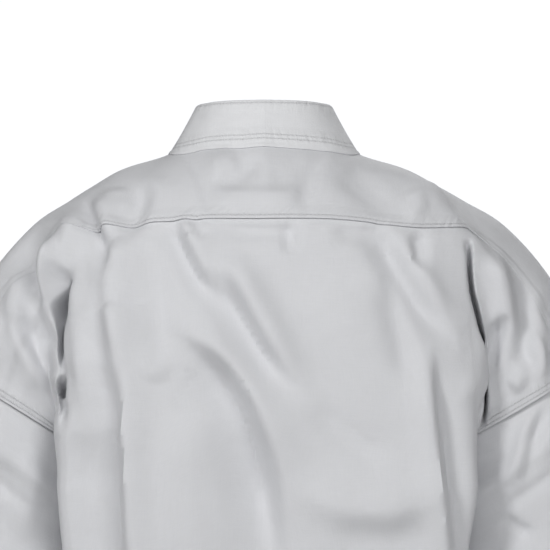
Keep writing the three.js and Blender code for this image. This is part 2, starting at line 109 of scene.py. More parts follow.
# The standing part of the band, from the centre back to the front of the neck. p, g: its sewn edge on
# the neckline, g positive behind the shoulder line. free: its top edge.
NECK = table(
    "s     p      g      free_x  free_y  free_z",
    (0.00, 0.000, 0.170, 0, 38, 44),
    (0.30, 0.145, 0.140, 27, 33, 43.5),
    (0.55, 0.260, 0.093, 46, 19, 42),
    (0.80, 0.325, 0.030, 57, -6, 38),
    (1.00, 0.345, -0.100, 55, -46, 20),
)

# Sleeve sections. run: distance from the sleeve seam down the arm. half: half width. back, front: half
# depths. tilt: angle of the section above level. inward, forward: shift to the body and to the front.
SLEEVE = table(
    "run  half  back  front  tilt  inward  forward",
    (-4, 70.6, 48.4, 46.4, 30.6, 0, 0),
    (0, 70.8, 48.4, 46.4, 30.6, 0, 0),
    (25, 75, 52, 50, 28, 0.5, 0),
    (70, 81, 52, 50, 24, 3, 2),
    (130, 84, 48, 48, 19, 6, 6),
    (220, 78, 47, 47, 17, 5, 16),
    (300, 70, 48, 48, 17, 2, 28),
    (352, 64, 48, 48, 17, 0, 36),
)

# Folds of the back and the shoulders, as seen square on from behind: a soft ridge through three points,
# or a trough where height is negative. Steep ones are listed from top to bottom, level ones from left to
# right. left: its width on the left, or below a level one. right: on the right, or above a level one.
# power: 2 where it is round, less where its line is sharp.
FOLD_NAMES = "x1 z1 x2 z2 x3 z3 left right height power"
BACK_FOLDS = table(
    FOLD_NAMES,
    (153, -84, 157, -160, 149, -248, 5, 9, 5, 1.6),
    (138, -80, 141, -125, 149, -165, 6, 6, 3, 2),
    (192, -218, 150, -242, 106, -218, 22, 34, 6, 1.4),
    (102, -48, 127, -112, 116, -190, 6, 16, 8, 1.6),
    (126, -132, 118, -210, 102, -470, 7, 20, 9, 1.7),
    (124, -180, 124, -300, 116, -560, 30, 4, -15, 1.4),
    (150, -230, 156, -300, 152, -440, 12, 16, -5, 2),
    (94, -70, 86, -130, 84, -196, 9, 8, -2.5, 1.9),
    (104, -150, 90, -190, 74, -158, 5, 12, 3, 1.4),
    (79, -56, 64, -92, 34, -140, 9, 4, -9, 1.3),
    (66, -50, 56, -88, 30, -128, 5, 12, 4, 2),
    (36, -80, 6, -138, -32, -212, 8, 14, 9, 1.9),
    (40, -98, 13, -154, -32, -222, 14, 6, -10, 1.4),
    (84, -148, 15, -200, -30, -330, 7, 24, 11, 1.6),
    (66, -170, 14, -236, -14, -400, 20, 7, -14, 1.4),
    (16, -230, -2, -350, -8, -560, 22, 9, -7, 1.4),
    (70, -220, 66, -300, 60, -440, 16, 18, 5, 2),
    (-34, -210, -70, -244, -112, -272, 10, 12, -4, 2),
    (-90, -58, -117, -106, -162, -178, 12, 5, -10, 1.4),
    (-108, -72, -130, -108, -154, -148, 7, 9, 3.5, 2),
    (-98, -104, -114, -155, -129, -214, 12, 6, -6, 1.6),
    (-138, -160, -146, -260, -168, -420, 13, 3, 9, 1.4),
    (-140, -164, -150, -270, -174, -460, 3, 14, -8, 1.4),
    (-20, -276, -84, -308, -160, -282, 13, 22, 8, 1.6),
    (-60, -310, -100, -334, -148, -320, 20, 12, -3.5, 2),
    (-177, -150, -179, -188, -170, -222, 8, 7, 3, 2),
    (-131, -66, -131, -84, -130, -108, 5, 4, -5, 1.3),
    (-21, -58, -21, -74, -22, -94, 3, 4, -4, 1.5),
    (60, -54, 55, -66, 49, -80, 3, 4, -3.5, 1.5),
    (48, -67, 4, -69, -36, -69, 7, 3, -3, 2),
    (-52, -68, -78, -70, -100, -70, 9, 3, -3, 2),
    (68, -410, 80, -560, 94, -790, 24, 26, -8, 2),
    (34, -400, 28, -560, 22, -790, 22, 22, 7, 2),
    (-58, -380, -70, -560, -86, -790, 24, 24, -8, 2),
    (-112, -400, -122, -560, -134, -790, 22, 20, 7, 2),
    (-30, -420, -34, -560, -40, -700, 16, 14, 4, 1.8),
    (146, -410, 152, -560, 156, -760, 18, 14, 6, 2),
    # the yoke: the layers inside press through along two slanted edges and the ridge between them
    (72, 6, 52, -26, 44, -60, 3.5, 6, -3.2, 1.3),
    (-56, 2, -38, -26, -34, -60, 6, 3.5, -3.2, 1.3),
    (56, -36, 6, -42, -46, -38, 11, 7, 3.4, 1.9),
    (2, -2, 22, -20, 48, -34, 7, 8, -3.4, 1.6),
    (20, -4, 34, -12, 46, -18, 8, 8, 2.5, 2),
    (-4, -26, -20, -22, -46, -6, 9, 8, -1.5, 1.8),
    (98, -24, 107, -56, 130, -92, 7, 8, -6, 1.5),
    (86, -16, 94, -44, 104, -70, 9, 9, 3.5, 2),
    (126, -30, 124, -44, 118, -60, 9, 9, 3, 2),
    (153, -40, 142, -70, 130, -112, 5, 5, -6, 1.5),
    (147, -38, 137, -60, 128, -80, 4, 10, 6, 2),
    (-64, -10, -84, -34, -118, -58, 10, 10, -3, 2),
    (-84, 0, -128, -22, -152, -62, 16, 7, 4, 1.8),
    (-124, -24, -157, -62, -214, -138, 14, 7, 5.5, 1.5),
    (-122, -34, -126, -48, -128, -66, 5, 5, 3, 1.8),
    # the left arm
    (160, -44, 167, -84, 199, -122, 17, 8, 11, 1.5),
    (182, -70, 206, -102, 214, -144, 15, 10, -8, 2),
    (166, -84, 184, -104, 184, -164, 6, 6, 9, 1.8),
    (172, -98, 172, -124, 174, -160, 4, 5, -8, 1.6),
    (222, -144, 204, -178, 178, -220, 13, 5, 8, 1.5),
    (214, -138, 198, -170, 178, -208, 4, 9, -6, 1.5),
    (208, -96, 216, -128, 208, -164, 9, 7, 8, 1.8),
    (206, -90, 198, -112, 188, -138, 4, 4, -5, 1.5),
    (186, -160, 183, -186, 178, -210, 6, 6, 5, 2),
    (236, -128, 236, -160, 226, -196, 9, 9, 4, 2),
    # the right arm
    (-202, -140, -194, -164, -189, -196, 3.5, 4, -9, 1.5),
    (-186, -84, -198, -124, -208, -168, 7, 8, 7, 1.8),
    (-212, -108, -221, -152, -214, -204, 8, 6, -6, 1.8),
    (-224, -150, -231, -186, -228, -220, 5, 5, 6, 1.8),
    (-204, -206, -214, -196, -222, -176, 6, 6, 5, 1.8),
    (-236, -120, -246, -150, -250, -186, 8, 8, -4, 1.8),
)

# Folds along the backs of the sleeves, seen from behind
LONG_SLEEVE_FOLDS = table(
    FOLD_NAMES,
    (-232, -200, -220, -243, -206, -306, 6, 5, 6, 1.8),
    (-240, -196, -227, -244, -214, -292, 4, 5, -6, 1.5),
    (-198, -316, -212, -326, -228, -335, 5, 4, -5, 1.6),
    (222, -256, 229, -300, 226, -352, 8, 8, -4, 2),
    (204, -250, 206, -290, 214, -350, 9, 10, 4, 2),
    (250, -300, 262, -360, 284, -430, 10, 12, 4, 2),
    (-262, -310, -270, -370, -290, -440, 10, 10, -4, 2),
)

# Where the back's outer folds end over the arms, seen from behind: a deep gap runs beside them, which the
# cloth crosses out of sight. left, right: its distance from the centre line. tuck: how deep it is, 0 to 1.
# gap: half its width.
EDGES = table(
    "z     left  right  tuck_left  tuck_right  gap_left  gap_right",
    (-400, 160, 172, 0, 0, 3, 3),
    (-256, 166, 180, 0, 0, 3, 3),
    (-238, 166.5, 181, 0.05, 0.4, 3, 2.6),
    (-222, 166.5, 182, 0.4, 0.8, 3.5, 2.6),
    (-211, 167, 182, 1, 0.9, 5, 2.6),
    (-203, 167, 181.5, 0.9, 1, 4.5, 2.6),
    (-192, 168, 181, 0.12, 1, 3, 2.8),
    (-180, 169, 180, 0.5, 1, 3, 3),
    (-165, 168.5, 178, 1, 1, 4, 3),
    (-150, 167.5, 175, 1, 1, 5.5, 3.3),
    (-135, 166, 171.5, 1, 1, 6.5, 3.6),
    (-122, 164, 168.5, 0.8, 1, 5, 3.4),
    (-110, 162, 167, 0.1, 0.9, 3.5, 3),
    (-92, 158, 165, 0, 0.5, 3, 2.6),
    (-78, 156, 163, 0, 0, 3, 3),
    (60, 156, 163, 0, 0, 3, 3),
)

# How far the cloth beside a gap stands out over it, how near to it that starts, how far beyond the
# edge it ends, and how deep the gap is
OVERHANG = {"out": 3.5, "near": 7, "ends": 2, "deep": 30}

# How the jacket hangs: wider at the neck, and slid to one side between two distances from its middle
HANG = {"wider": 2.2, "neck": 60, "slid": 4.5, "from": 110, "to": 230}

# Folds of the fronts, seen through from behind, so that x keeps its sign.
FRONT_FOLDS = table(
    FOLD_NAMES,
    (120, -80, 96, -150, 62, -226, 15, 15, 5, 1.9),
    (-120, -80, -96, -150, -62, -226, 15, 15, 5, 1.9),
    (136, -120, 116, -190, 84, -250, 10, 11, -4, 1.7),
    (-134, -110, -118, -180, -80, -238, 10, 11, -4, 1.7),
    (152, -190, 100, -300, 40, -400, 16, 18, -6, 1.8),
    (158, -240, 130, -330, 84, -420, 14, 14, 4, 1.8),
    (-150, -190, -128, -300, -112, -400, 14, 16, -6, 1.8),
    (-160, -300, -146, -360, -150, -428, 9, 9, 4, 1.8),
    (120, -440, 132, -590, 140, -760, 22, 22, 7, 2),
    (42, -470, 44, -600, 46, -760, 22, 22, -6, 2),
    (84, -500, 92, -620, 96, -760, 16, 18, -4, 1.9),
    (-105, -460, -114, -600, -125, -760, 26, 28, 4, 2),
    (-160, -500, -164, -620, -168, -760, 14, 16, 4, 2),
    (170, -110, 168, -150, 172, -210, 9, 10, 4, 1.9),
    (-170, -110, -168, -150, -172, -210, 9, 10, 4, 1.9),
)

# Sleeve folds run round the arm. turn: where the middle lies, in degrees from the outer edge towards
# the back. slope: how far it falls along the arm for each millimetre round it. reach: half its length.
SLEEVE_FOLDS = table(
    "run  slope  turn  reach  above  below  height",
    (22, 0.30, 60, 34, 7, 6, 2.5),
    (45, 0.25, 110, 55, 12, 9, 5),
    (66, 0.30, 96, 40, 6, 8, -3),
    (84, -0.20, 20, 40, 9, 9, 2.5),
    (120, -0.30, 130, 62, 14, 10, 5),
    (142, -0.32, 118, 40, 7, 8, -3),
    (170, 0.30, 240, 66, 14, 11, 5),
    (150, 0.10, 285, 44, 9, 9, -3),
    (205, 0.20, 100, 72, 12, 12, -5),
    (186, 0.24, 78, 46, 8, 9, 3),
    (262, -0.20, 180, 84, 13, 11, 4),
    (240, 0.15, 30, 50, 11, 9, -3),
    (300, 0.18, 70, 56, 11, 12, 3),
    (306, -0.12, 290, 56, 12, 10, -3),
)

# The deep crease between the back fold and the sleeve
CREASE = {"p": 0.795, "spread": 0.06, "depth": 7, "starts": 0.3, "full": 0.62, "ends": 1.3}

# Folds. The back's and the front's heights are multiplied by a strength. A line sharper than
# SHARP_POWER has plane sides, which end PLANE_REACH widths away over a soft foot.
BACK_STRENGTH = 1.35
FRONT_STRENGTH = 1.5
CURVE_POINTS = 13
FOLD_ROUND = 2.4
FOLD_ENDS = 0.35
SHARP_POWER = 1.5
PLANE_REACH = 1.6
PLANE_FOOT = 0.05

# Where the folds fade, from and to: by section towards the arm, by height under it, by height below
# the shoulder line, and by section at the sleeve seam, where SEAM_FADE of their height is gone. The
# overhang of the gaps fades by section at the arm and by height at its foot.
FADE = {
    "back_arm": (0.76, 0.84),
    "under_arm": (0.5, 0.7),
    "front_arm": (0.70, 0.80),
    "shoulder": (0.02, 0.14),
    "seam": (0.95, 1),
    "overhang_arm": (0.9, 1),
    "overhang_foot": (0.93, 1),
}
SEAM_FADE = 0.75

# Heights in millimetres, and shares of a section or of a height
HEM_Z = -745
ARMPIT_Z = -258
VENT_TOP_Z = -600
VENT_OPENING = 0.035
ARM_ANGLE = math.radians(17)
SIDE_GAP = 0.0015
FRONT_CORNER = 0.0032
LAPEL_GAP = 0.5
LAPEL_REACH = 0.69
HALVINGS = 22
NECK_PART = 0.2
LAY_DOWN = 0.14
STANDING_LIFT = 1.8
CHEST_ROWS = 1.15
HALF_BAND = 620
NECK_FALL = (-0.16, -0.42, -0.9)
YOKE_NECK = 0.5
YOKE_BELOW_NECK = 0.62
YOKE_EDGE = 0.004
STEP = 0.004

# The left front lies WRAP_LIFT outside the right one. This grows from nothing between the two heights,
# and falls to nothing again between the two sections.
WRAP_LIFT = 7
WRAP = {"height": (0.25, 0.5), "section": (0.62, 0.8)}

# The band's free edge comes back by EDGE_EASE and is rounded, and its foot lies on the yoke
EDGE_EASE = 2.6
EASE_FROM = 0.3
ROUNDED = 0.04
ROUND_POINTS = 6
FOOT = 0.06
FOOT_SHARE = 0.55
FOOT_LIFT = 0.6
INSIDE_NECK = 0.999
FOOT_THIN = 0.7

# The cloth and its sewing, in millimetres. The yoke stands YOKE_LAP off the panels below, and FLUSH
# where its back seam lies flat. Between the two shares of LAP_ENDS the one turns into the other. TUCK
# is how far the panels go under the yoke, as a share of the height above the armpits.
CLOTH = 1.2
BAND = 3.0
YOKE_LAP = 1.5
FLUSH = 0.5
LAP_LIFT = 0.5
LAP_ENDS = {"left": (0.49, 0.55), "right": (0.62, 0.7)}
FRONT_LAP = 0.07
BACK_LAP = 0.9
PLAIN_FROM = 0.3
TUCK = 0.012
TUCK_FADE = 0.03
HEM_WIDTH = 20
SEAM_INSET = 5
SEAM_ROWS = 2
CROSS_SEAM = 3
BAND_SEWN = {"start": (11, 2), "end": (4, 0)}
TAPE_SEWN = {"start": (2.0, 0), "end": (2.0, 0)}
FAR_OFF = 1000.0
SHARP_ANGLE = math.radians(55)

# Columns and rows of each grid, and the share of the rows above the armpits
GRIDS = {"back": (220, 215), "yoke": (210, 80), "front": (120, 240), "sleeve": (180, 150), "band": (18, 300)}
CLOSER = {"points": 2001, "more": 1.8, "at": 0.68, "spread": 0.12}
BACK_ABOVE = 0.6
FRONT_ABOVE = 0.46
LEAD_ROWS = 40
TAIL_ROWS = 70
TAPE_COLUMNS = 5
KNOT_POINTS = 160

# The sleeve. ARM_ROUND: the radius on which the turn of a fold is measured. SLEEVE_STARTS: between which
# distances below its seam the folds round it and along it grow, and between which sines of the turn
# the ones along it do.
ARM_ROUND = 60
ARM_SLACK = 0.5
TURN_STEP = 0.01
SLEEVE_STARTS = {"round": (6, 34), "long": (2, 20), "behind": (0, 0.5)}

# The ties: their tape, the knot, the leads that cross the front to it and the tails that hang from it.
# p: section. lift, stand_off: distance off the body. lean: how far a tail's section changes to its end.
# length: share of the way from the top ring to the hem. KNOT_TAPE: the tape where it runs in the knot.
# KNOT_ROOM: what its thickness takes off the knot's sizes. TREFOIL: sizes of the curve in knot_path().
TAPE = {"width": 20, "gathered": 9, "wall": 1.8, "height": -428, "stand_off": 2.2, "below": 0.8}
KNOT = {"p": -0.56, "width": 28, "height": 25, "depth": 15, "stand_off": -0.2}
KNOT_TAPE = {"wide": 8.5, "thick": 4.6, "run": 90}
KNOT_ROOM = {"width": 9, "height": 8, "depth": 6}
TREFOIL = {"width": 5.4, "height": 5.6, "depth": 2}
LEADS = {
    "over": {"p1": -0.29, "p2": -0.497, "lift1": 11, "lift2": 4},
    "side": {"p1": -0.9, "p2": -0.628, "lift1": 1, "lift2": 4},
}
TAILS = {
    "over": {"p": -0.525, "lean": 0.06, "length": 0.31},
    "side": {"p": -0.592, "lean": -0.035, "length": 0.26},
}
TAIL = {"tucked": 0.4, "out": 0.4, "swing": 0.006, "waves": 7, "phase": 40, "slant": 160, "opens": 0.25}
LEAD_GATHERS = 0.6
TAPE_CUP = 1.2

# Sewing in the cotton, in metres: the length of a stitch, and from where to where a row's thread, its
# groove and its puckers reach. rise: where a stitch comes up, as a sine.
STITCH = {
    "length": 0.0032,
    "thread": (0.00025, 0.00075),
    "groove": (0.0004, 0.0028),
    "pucker": (0.002, 0.011),
    "rise": (-0.75, -0.2),
}

# Camera and lights, in metres, and the camera's sensor in millimetres. power: a share of the key light's.
CAMERA = {"x": -0.0095, "z": -0.1075, "sensor": 36, "far": 50}
LIGHT_AIM = (0, 0, -0.15)
LIGHTS = table(
    "name        x     y     z     power  size",
    ("Key", 1.3, 2.1, 1.25, 1, 0.5),
    ("Fill", -0.9, 2.5, 0.9, 0.75, 1.2),
    ("FrontKey", -1.2, -3.0, 1.4, 1.7, 1.2),
)
SKY = (0.97, 0.98, 1.0, 1.0)
SKY_SEEN = 1.05
FLOOR_SIZE = 3.0
FLOOR_WHITE = (0.8, 0.8, 0.8)


def lerp(low, high, t):
    """From low at t 0 to high at t 1."""
    return low + (high - low) * t


def smoothstep(low, high, x):
    """0 up to low, 1 from high, and 3 t ** 2 - 2 t ** 3 between them."""
    t = np.clip((x - low) / (high - low), 0, 1)
    return t * t * (3 - 2 * t)


def column(rows, key, name):
    """A smooth curve through one column: a cubic between two rows, with the slope at each row that its
    neighbours have between them."""
    rows = sorted(rows, key=lambda row: row[key])
    xs = np.array([row[key] for row in rows], float)
    ys = np.array([row[name] for row in rows], float)
    slope = np.concatenate(
        (
            [(ys[1] - ys[0]) / (xs[1] - xs[0])],
            (ys[2:] - ys[:-2]) / (xs[2:] - xs[:-2]),
            [(ys[-1] - ys[-2]) / (xs[-1] - xs[-2])],
        )
    )

    def at(value):
        x = np.clip(value, xs[0], xs[-1])
        i = np.clip(np.searchsorted(xs, x, side="right") - 1, 0, len(xs) - 2)
        span = xs[i + 1] - xs[i]
        t = (x - xs[i]) / span
        ease = t * t * (3 - 2 * t)
        bend = span * t * (1 - t) * (slope[i] * (1 - t) - slope[i + 1] * t)
        return lerp(ys[i], ys[i + 1], ease) + bend

    return at


def columns(rows, key):
    """A curve for each column of a table."""
    return {name: column(rows, key, name) for name in rows[0]}


SECTION = columns(SECTIONS, "p")
RING = columns(RINGS, "z")
LAPEL_AT = columns(LAPEL, "q")
NECK_AT = columns(NECK, "s")
SLEEVE_AT = columns(SLEEVE, "run")
EDGE_AT = columns(EDGES, "z")


def body(p, q, face):
    """The jacket's outer surface at section p (-1 right to 1 left), height q and face (1 back, -1 front).

    Down to the top ring (q 0 to 1) a section leaves the shoulder line as a quarter of a rounded square,
    y = depth * sqrt(1 - (1 - q ** 1.5) ** 4), or as half a circle, y = depth * sin(pi * q), by its wrap.
    Below it (q 1 to 2) the ring keeps its outline and is scaled to the sizes of the rings further down.
    """
    p, q, face = np.broadcast_arrays(np.asarray(p, float), np.asarray(q, float), np.asarray(face, float))
    a = np.abs(p)
    depth = np.where(face > 0, SECTION["back_y"](a), SECTION["front_y"](a))
    wrap = SECTION["wrap"](a)
    ring_x = SECTION["ring_x"](a)
    ring_z = SECTION["ring_z"](a)
    upper = np.clip(q, 0, 1)
    straight = upper**1.5
    drop = lerp(straight, (1 - np.cos(np.pi * upper)) / 2, wrap)
    quarter = np.sqrt(1 - (1 - straight) ** 4)
    x = lerp(SECTION["top_x"](a), ring_x, drop)
    y = depth * lerp(quarter, np.sin(np.pi * upper), wrap)
    z = lerp(SECTION["top_z"](a), ring_z, drop)
    low_z = lerp(ring_z, HEM_Z, np.maximum(q - 1, 0))
    widen = lerp(
        RING["fold"](low_z) / RING["fold"](ring_z),
        RING["side"](low_z) / RING["side"](ring_z),
        smoothstep(0.7, 1, a),
    )
    deepen = np.where(
        face > 0,
        RING["back"](low_z) / RING["back"](ring_z),
        RING["front"](low_z) / RING["front"](ring_z),
    )
    below = q > 1
    x = np.where(below, ring_x * widen, x)
    y = np.where(below, depth * (1 - wrap) * deepen, y)
    z = np.where(below, low_z, z)
    in_crease = smoothstep(CREASE["starts"], CREASE["full"], q) * (1 - smoothstep(1, CREASE["ends"], q))
    crease = in_crease * np.exp(-(((a - CREASE["p"]) / CREASE["spread"]) ** 2))
    y = y - CREASE["depth"] * crease * (1 - smoothstep(0.85, 1, a))
    return np.stack((np.sign(p) * x, face * y, z), -1)


def body_around(p, q, face):
    """body(), carried on round to the other face past a side seam."""
    past = np.abs(p) > 1
    round_side = past & (q >= 1)
    inside = np.where(round_side, 2 - np.abs(p), 1)
    return body(np.where(past, np.sign(p) * inside, p), q, np.where(round_side, -face, face))


def unit(vectors):
    """Vectors scaled to length 1."""
    length = np.linalg.norm(vectors, axis=-1, keepdims=True)
    return vectors / np.maximum(length, 1e-9)


def body_normal(p, q, face):
    """Outward unit normal of body(), from its neighbours STEP away. At the top ring it is the mean of
    the normals above and below."""
    p, q, face = np.broadcast_arrays(np.asarray(p, float), np.asarray(q, float), np.asarray(face, float))

    def facing(height):
        across = body_around(p + STEP, height, face) - body_around(p - STEP, height, face)
        over_top = (height - STEP < 0)[..., None]
        above = np.where(
            over_top,
            body(p, np.abs(STEP - height), -face),
            body_around(p, np.maximum(height - STEP, 0), face),
        )
        below = body_around(p, np.minimum(2, height + STEP), face)
        return unit(np.cross(across, below - above) * face[..., None])

    at_ring = (np.abs(q - 1) < STEP)[..., None]
    both = unit(facing(np.full_like(q, 1 - 2 * STEP)) + facing(np.full_like(q, 1 + 2 * STEP)))
    return np.where(at_ring, both, facing(q))


def fold_height(folds, x, z):
    """Height of all folds of a table at (x, z).

    A fold follows the parabola through its three points. Across it, its height falls as
    exp(-(distance / width) ** power), or for a power under SHARP_POWER along two planes that end
    PLANE_REACH widths away, rounded off over FOLD_ROUND at its line. Along it, it swells from nothing
    and back to nothing.
    """
    total = np.zeros_like(x)
    for fold in folds:
        start = np.array((fold["x1"], fold["z1"]), float)
        middle = np.array((fold["x2"], fold["z2"]), float)
        end = np.array((fold["x3"], fold["z3"]), float)
        pull = 2 * middle - (start + end) / 2
        t = np.linspace(0, 1, CURVE_POINTS)[:, None]
        line = start * (1 - t) ** 2 + 2 * pull * t * (1 - t) + end * t**2
        nearest = np.full(x.shape, 1e9)
        side = np.zeros_like(x)
        along = np.zeros_like(x)
        for k in range(CURVE_POINTS - 1):
            run = line[k + 1] - line[k]
            off_x = x - line[k, 0]
            off_z = z - line[k, 1]
            share = np.clip((off_x * run[0] + off_z * run[1]) / (run @ run), 0, 1)
            away = np.hypot(off_x - share * run[0], off_z - share * run[1])
            closer = away < nearest
            nearest = np.where(closer, away, nearest)
            side = np.where(closer, run[0] * off_z - run[1] * off_x, side)
            along = np.where(closer, (k + share) / (CURVE_POINTS - 1), along)
        width = np.where(side > 0, fold["left"], fold["right"])
        swell = smoothstep(0, FOLD_ENDS, along) * (1 - smoothstep(1 - FOLD_ENDS, 1, along))
        away = np.sqrt(nearest**2 + FOLD_ROUND**2) - FOLD_ROUND
        if fold["power"] < SHARP_POWER:
            left_over = 1 - away / (width * PLANE_REACH)
            shape = (left_over + np.sqrt(left_over**2 + PLANE_FOOT)) / (1 + np.sqrt(1 + PLANE_FOOT))
        else:
            shape = np.exp(-((away / width) ** fold["power"]))
        total += fold["height"] * swell * shape
    return total


def slackness(x, z, face):
    """Slow unevenness of cloth that nothing pulls straight: two pairs of crossed sine waves, multiplied
    in each pair, that come to less than a millimetre."""
    wave = np.sin(x / 17 + z / 41 + 1.3 * face) * np.sin(z / 29 - x / 53 + 0.7)
    finer = np.sin(x / 9.3 - z / 13.7 + 2.1 * face) * np.sin(z / 21 + x / 31)
    return 0.55 * wave + 0.22 * finer


def cloth(p, q, face, lift=0.0):
    """A place `lift` outside body(), with the folds of its face, and the outward normal there."""
    place = body(p, q, face)
    normal = body_normal(p, q, face)
    x, z = place[..., 0], place[..., 2]
    face = np.broadcast_to(np.asarray(face, float), x.shape)
    a = np.abs(p)
    behind = face > 0
    under_arm = smoothstep(*FADE["back_arm"], a) * smoothstep(*FADE["under_arm"], q)
    height = np.zeros_like(x)
    if behind.any():
        height = np.where(behind, BACK_STRENGTH * fold_height(BACK_FOLDS, x, z) * (1 - under_arm), height)
    if not behind.all():
        at_arm = smoothstep(*FADE["front_arm"], a)
        height = np.where(behind, height, FRONT_STRENGTH * fold_height(FRONT_FOLDS, x, z) * (1 - at_arm))
    near_top = smoothstep(*FADE["shoulder"], q)
    near_seam = 1 - SEAM_FADE * smoothstep(*FADE["seam"], a) * (q < 1)
    height = (height + slackness(x, z, face)) * near_top * near_seam
    place = place + normal * (lift + height)[..., None]
    if behind.any():
        before_seam = 1 - smoothstep(*FADE["overhang_arm"], a)
        place = place + overhang(x, z, q) * (behind * before_seam)[..., None]
    return place, normal


def overhang(x, z, q):
    """Shift that opens the gap beside the back's outer fold: a trough, deep * exp(-(off / width) ** 4) with
    off measured from its middle, and the cloth on its near side moved out over it."""
    left = x > 0
    edge = np.where(left, EDGE_AT["left"](z), EDGE_AT["right"](z))
    gap = np.where(left, EDGE_AT["gap_left"](z), EDGE_AT["gap_right"](z))
    off = np.abs(x) - edge
    tuck = np.where(left, EDGE_AT["tuck_left"](z), EDGE_AT["tuck_right"](z))
    tuck = np.clip(tuck, 0, 1) * (1 - smoothstep(*FADE["overhang_foot"], q))
    inwards = -OVERHANG["deep"] * np.exp(-(((off - gap) / gap) ** 4))
    near = np.exp(-((off / OVERHANG["near"]) ** 2)) * (1 - smoothstep(0, OVERHANG["ends"], off))
    sideways = np.sign(x) * OVERHANG["out"] * near
    return np.stack((sideways * tuck, inwards * tuck, np.zeros_like(x)), -1)


def wrap_lift(p, q):
    """How far the left front stands off the right one: all where they lap, nothing at yoke and side."""
    return WRAP_LIFT * smoothstep(*WRAP["height"], q) * (1 - smoothstep(*WRAP["section"], p))


def section_at(x, q):
    """The section p whose front lies at x, at height q: the stretch that holds it is halved again and
    again. The lapel reaches no section beyond LAPEL_REACH."""
    low = np.zeros_like(x)
    high = np.full_like(x, LAPEL_REACH)
    for _ in range(HALVINGS):
        mid = (low + high) / 2
        short = body(mid, q, -1)[..., 0] < np.abs(x)
        low = np.where(short, mid, low)
        high = np.where(short, high, mid)
    return np.sign(x) * low


def side_edge(q):
    """The section where a panel ends at height q: just short of the side seam, and less at the vent."""
    z = lerp(ARMPIT_Z, HEM_Z, np.maximum(0, q - 1))
    return 1 - SIDE_GAP - VENT_OPENING * (1 - smoothstep(HEM_Z, VENT_TOP_Z, z))


def seam_column(s, edge):
    """Section of a column of the back: s 0 to YOKE_NECK lies under the neckline, the rest beyond it."""
    inner = YOKE_BELOW_NECK * s / YOKE_NECK
    outer = lerp(YOKE_BELOW_NECK, edge, (s - YOKE_NECK) / (1 - YOKE_NECK))
    return np.where(s < YOKE_NECK, inner, outer)


def lengths(points, axis):
    """Distance run along one axis of a grid of points, from its first row or column."""
    steps = np.linalg.norm(np.diff(points, axis=axis), axis=-1)
    first = np.zeros_like(np.take(steps, [0], axis=axis))
    return np.concatenate((first, np.cumsum(steps, axis=axis)), axis=axis)


def sewing_map(points, sewn):
    """Distance to the nearest stitched edge, run along it and half the distance between its two rows.

    sewn names the edges (top, bottom, start, end) and gives how far in from each the middle of the
    sewing lies and half the distance between its rows, 0 for one row. All are in millimetres.
    """
    down = lengths(points, 0)
    across = lengths(points, 1)
    away = {
        "top": (down, across),
        "bottom": (down[-1:] - down, across),
        "start": (across, down),
        "end": (across[:, -1:] - across, down),
    }
    distance = np.full(down.shape, FAR_OFF)
    run = np.zeros_like(down)
    apart = np.zeros_like(down)
    for edge, (inset, rows) in sewn.items():
        off, along = away[edge]
        nearer = np.abs(off - inset) < np.abs(distance)
        distance = np.where(nearer, off - inset, distance)
        run = np.where(nearer, along, run)
        apart = np.where(nearer, rows, apart)
    return np.stack((distance, run, apart), -1)


def surface_normals(points, closed):
    """Unit normals of a grid from the differences between neighbours."""
    if closed:
        ring = np.concatenate((points[:, -2:-1], points, points[:, 1:2]), axis=1)
        across = (ring[:, 2:] - ring[:, :-2]) / 2
    else:
        across = np.gradient(points, axis=1)
    return unit(np.cross(across, np.gradient(points, axis=0)))


def settled(points):
    """The jacket as it hangs in the photograph: a little wider at the neck, x + wider * tanh(x / 60), and
    slid towards the wearer's right out at the arms."""
    x = points[:, 0]
    slid = HANG["slid"] * smoothstep(HANG["from"], HANG["to"], np.abs(x))
    wider = HANG["wider"] * np.tanh(x / HANG["neck"])
    return points + np.stack((wider - slid, 0 * x, 0 * x), -1)


def add_mesh(name, points, faces, material, maps):
    """A mesh object at the origin, in metres, with smooth faces, sharp rims and its point attributes."""
    mesh = bpy.data.meshes.new(name)
    points = settled(points)
    mesh.from_pydata((points * MM).tolist(), [], faces.tolist())
    mesh.polygons.foreach_set("use_smooth", np.ones(len(mesh.polygons), bool))
    mesh.set_sharp_from_angle(angle=SHARP_ANGLE)
    for key, values in maps.items():
        attribute = mesh.attributes.new(key, "FLOAT_VECTOR", "POINT")
        attribute.data.foreach_set("vector", (values * MM).astype(np.float32).ravel())
    corners = np.empty(len(mesh.loops), np.int32)
    mesh.loops.foreach_get("vertex_index", corners)
    uv = mesh.uv_layers.new(name="Cloth")
    uv.data.foreach_set("uv", (maps["cloth"][corners, :2] * MM).astype(np.float32).ravel())
    mesh.materials.append(material)
    mesh.validate()
    piece = bpy.data.objects.new(name, mesh)
    bpy.context.scene.collection.objects.link(piece)
    return piece


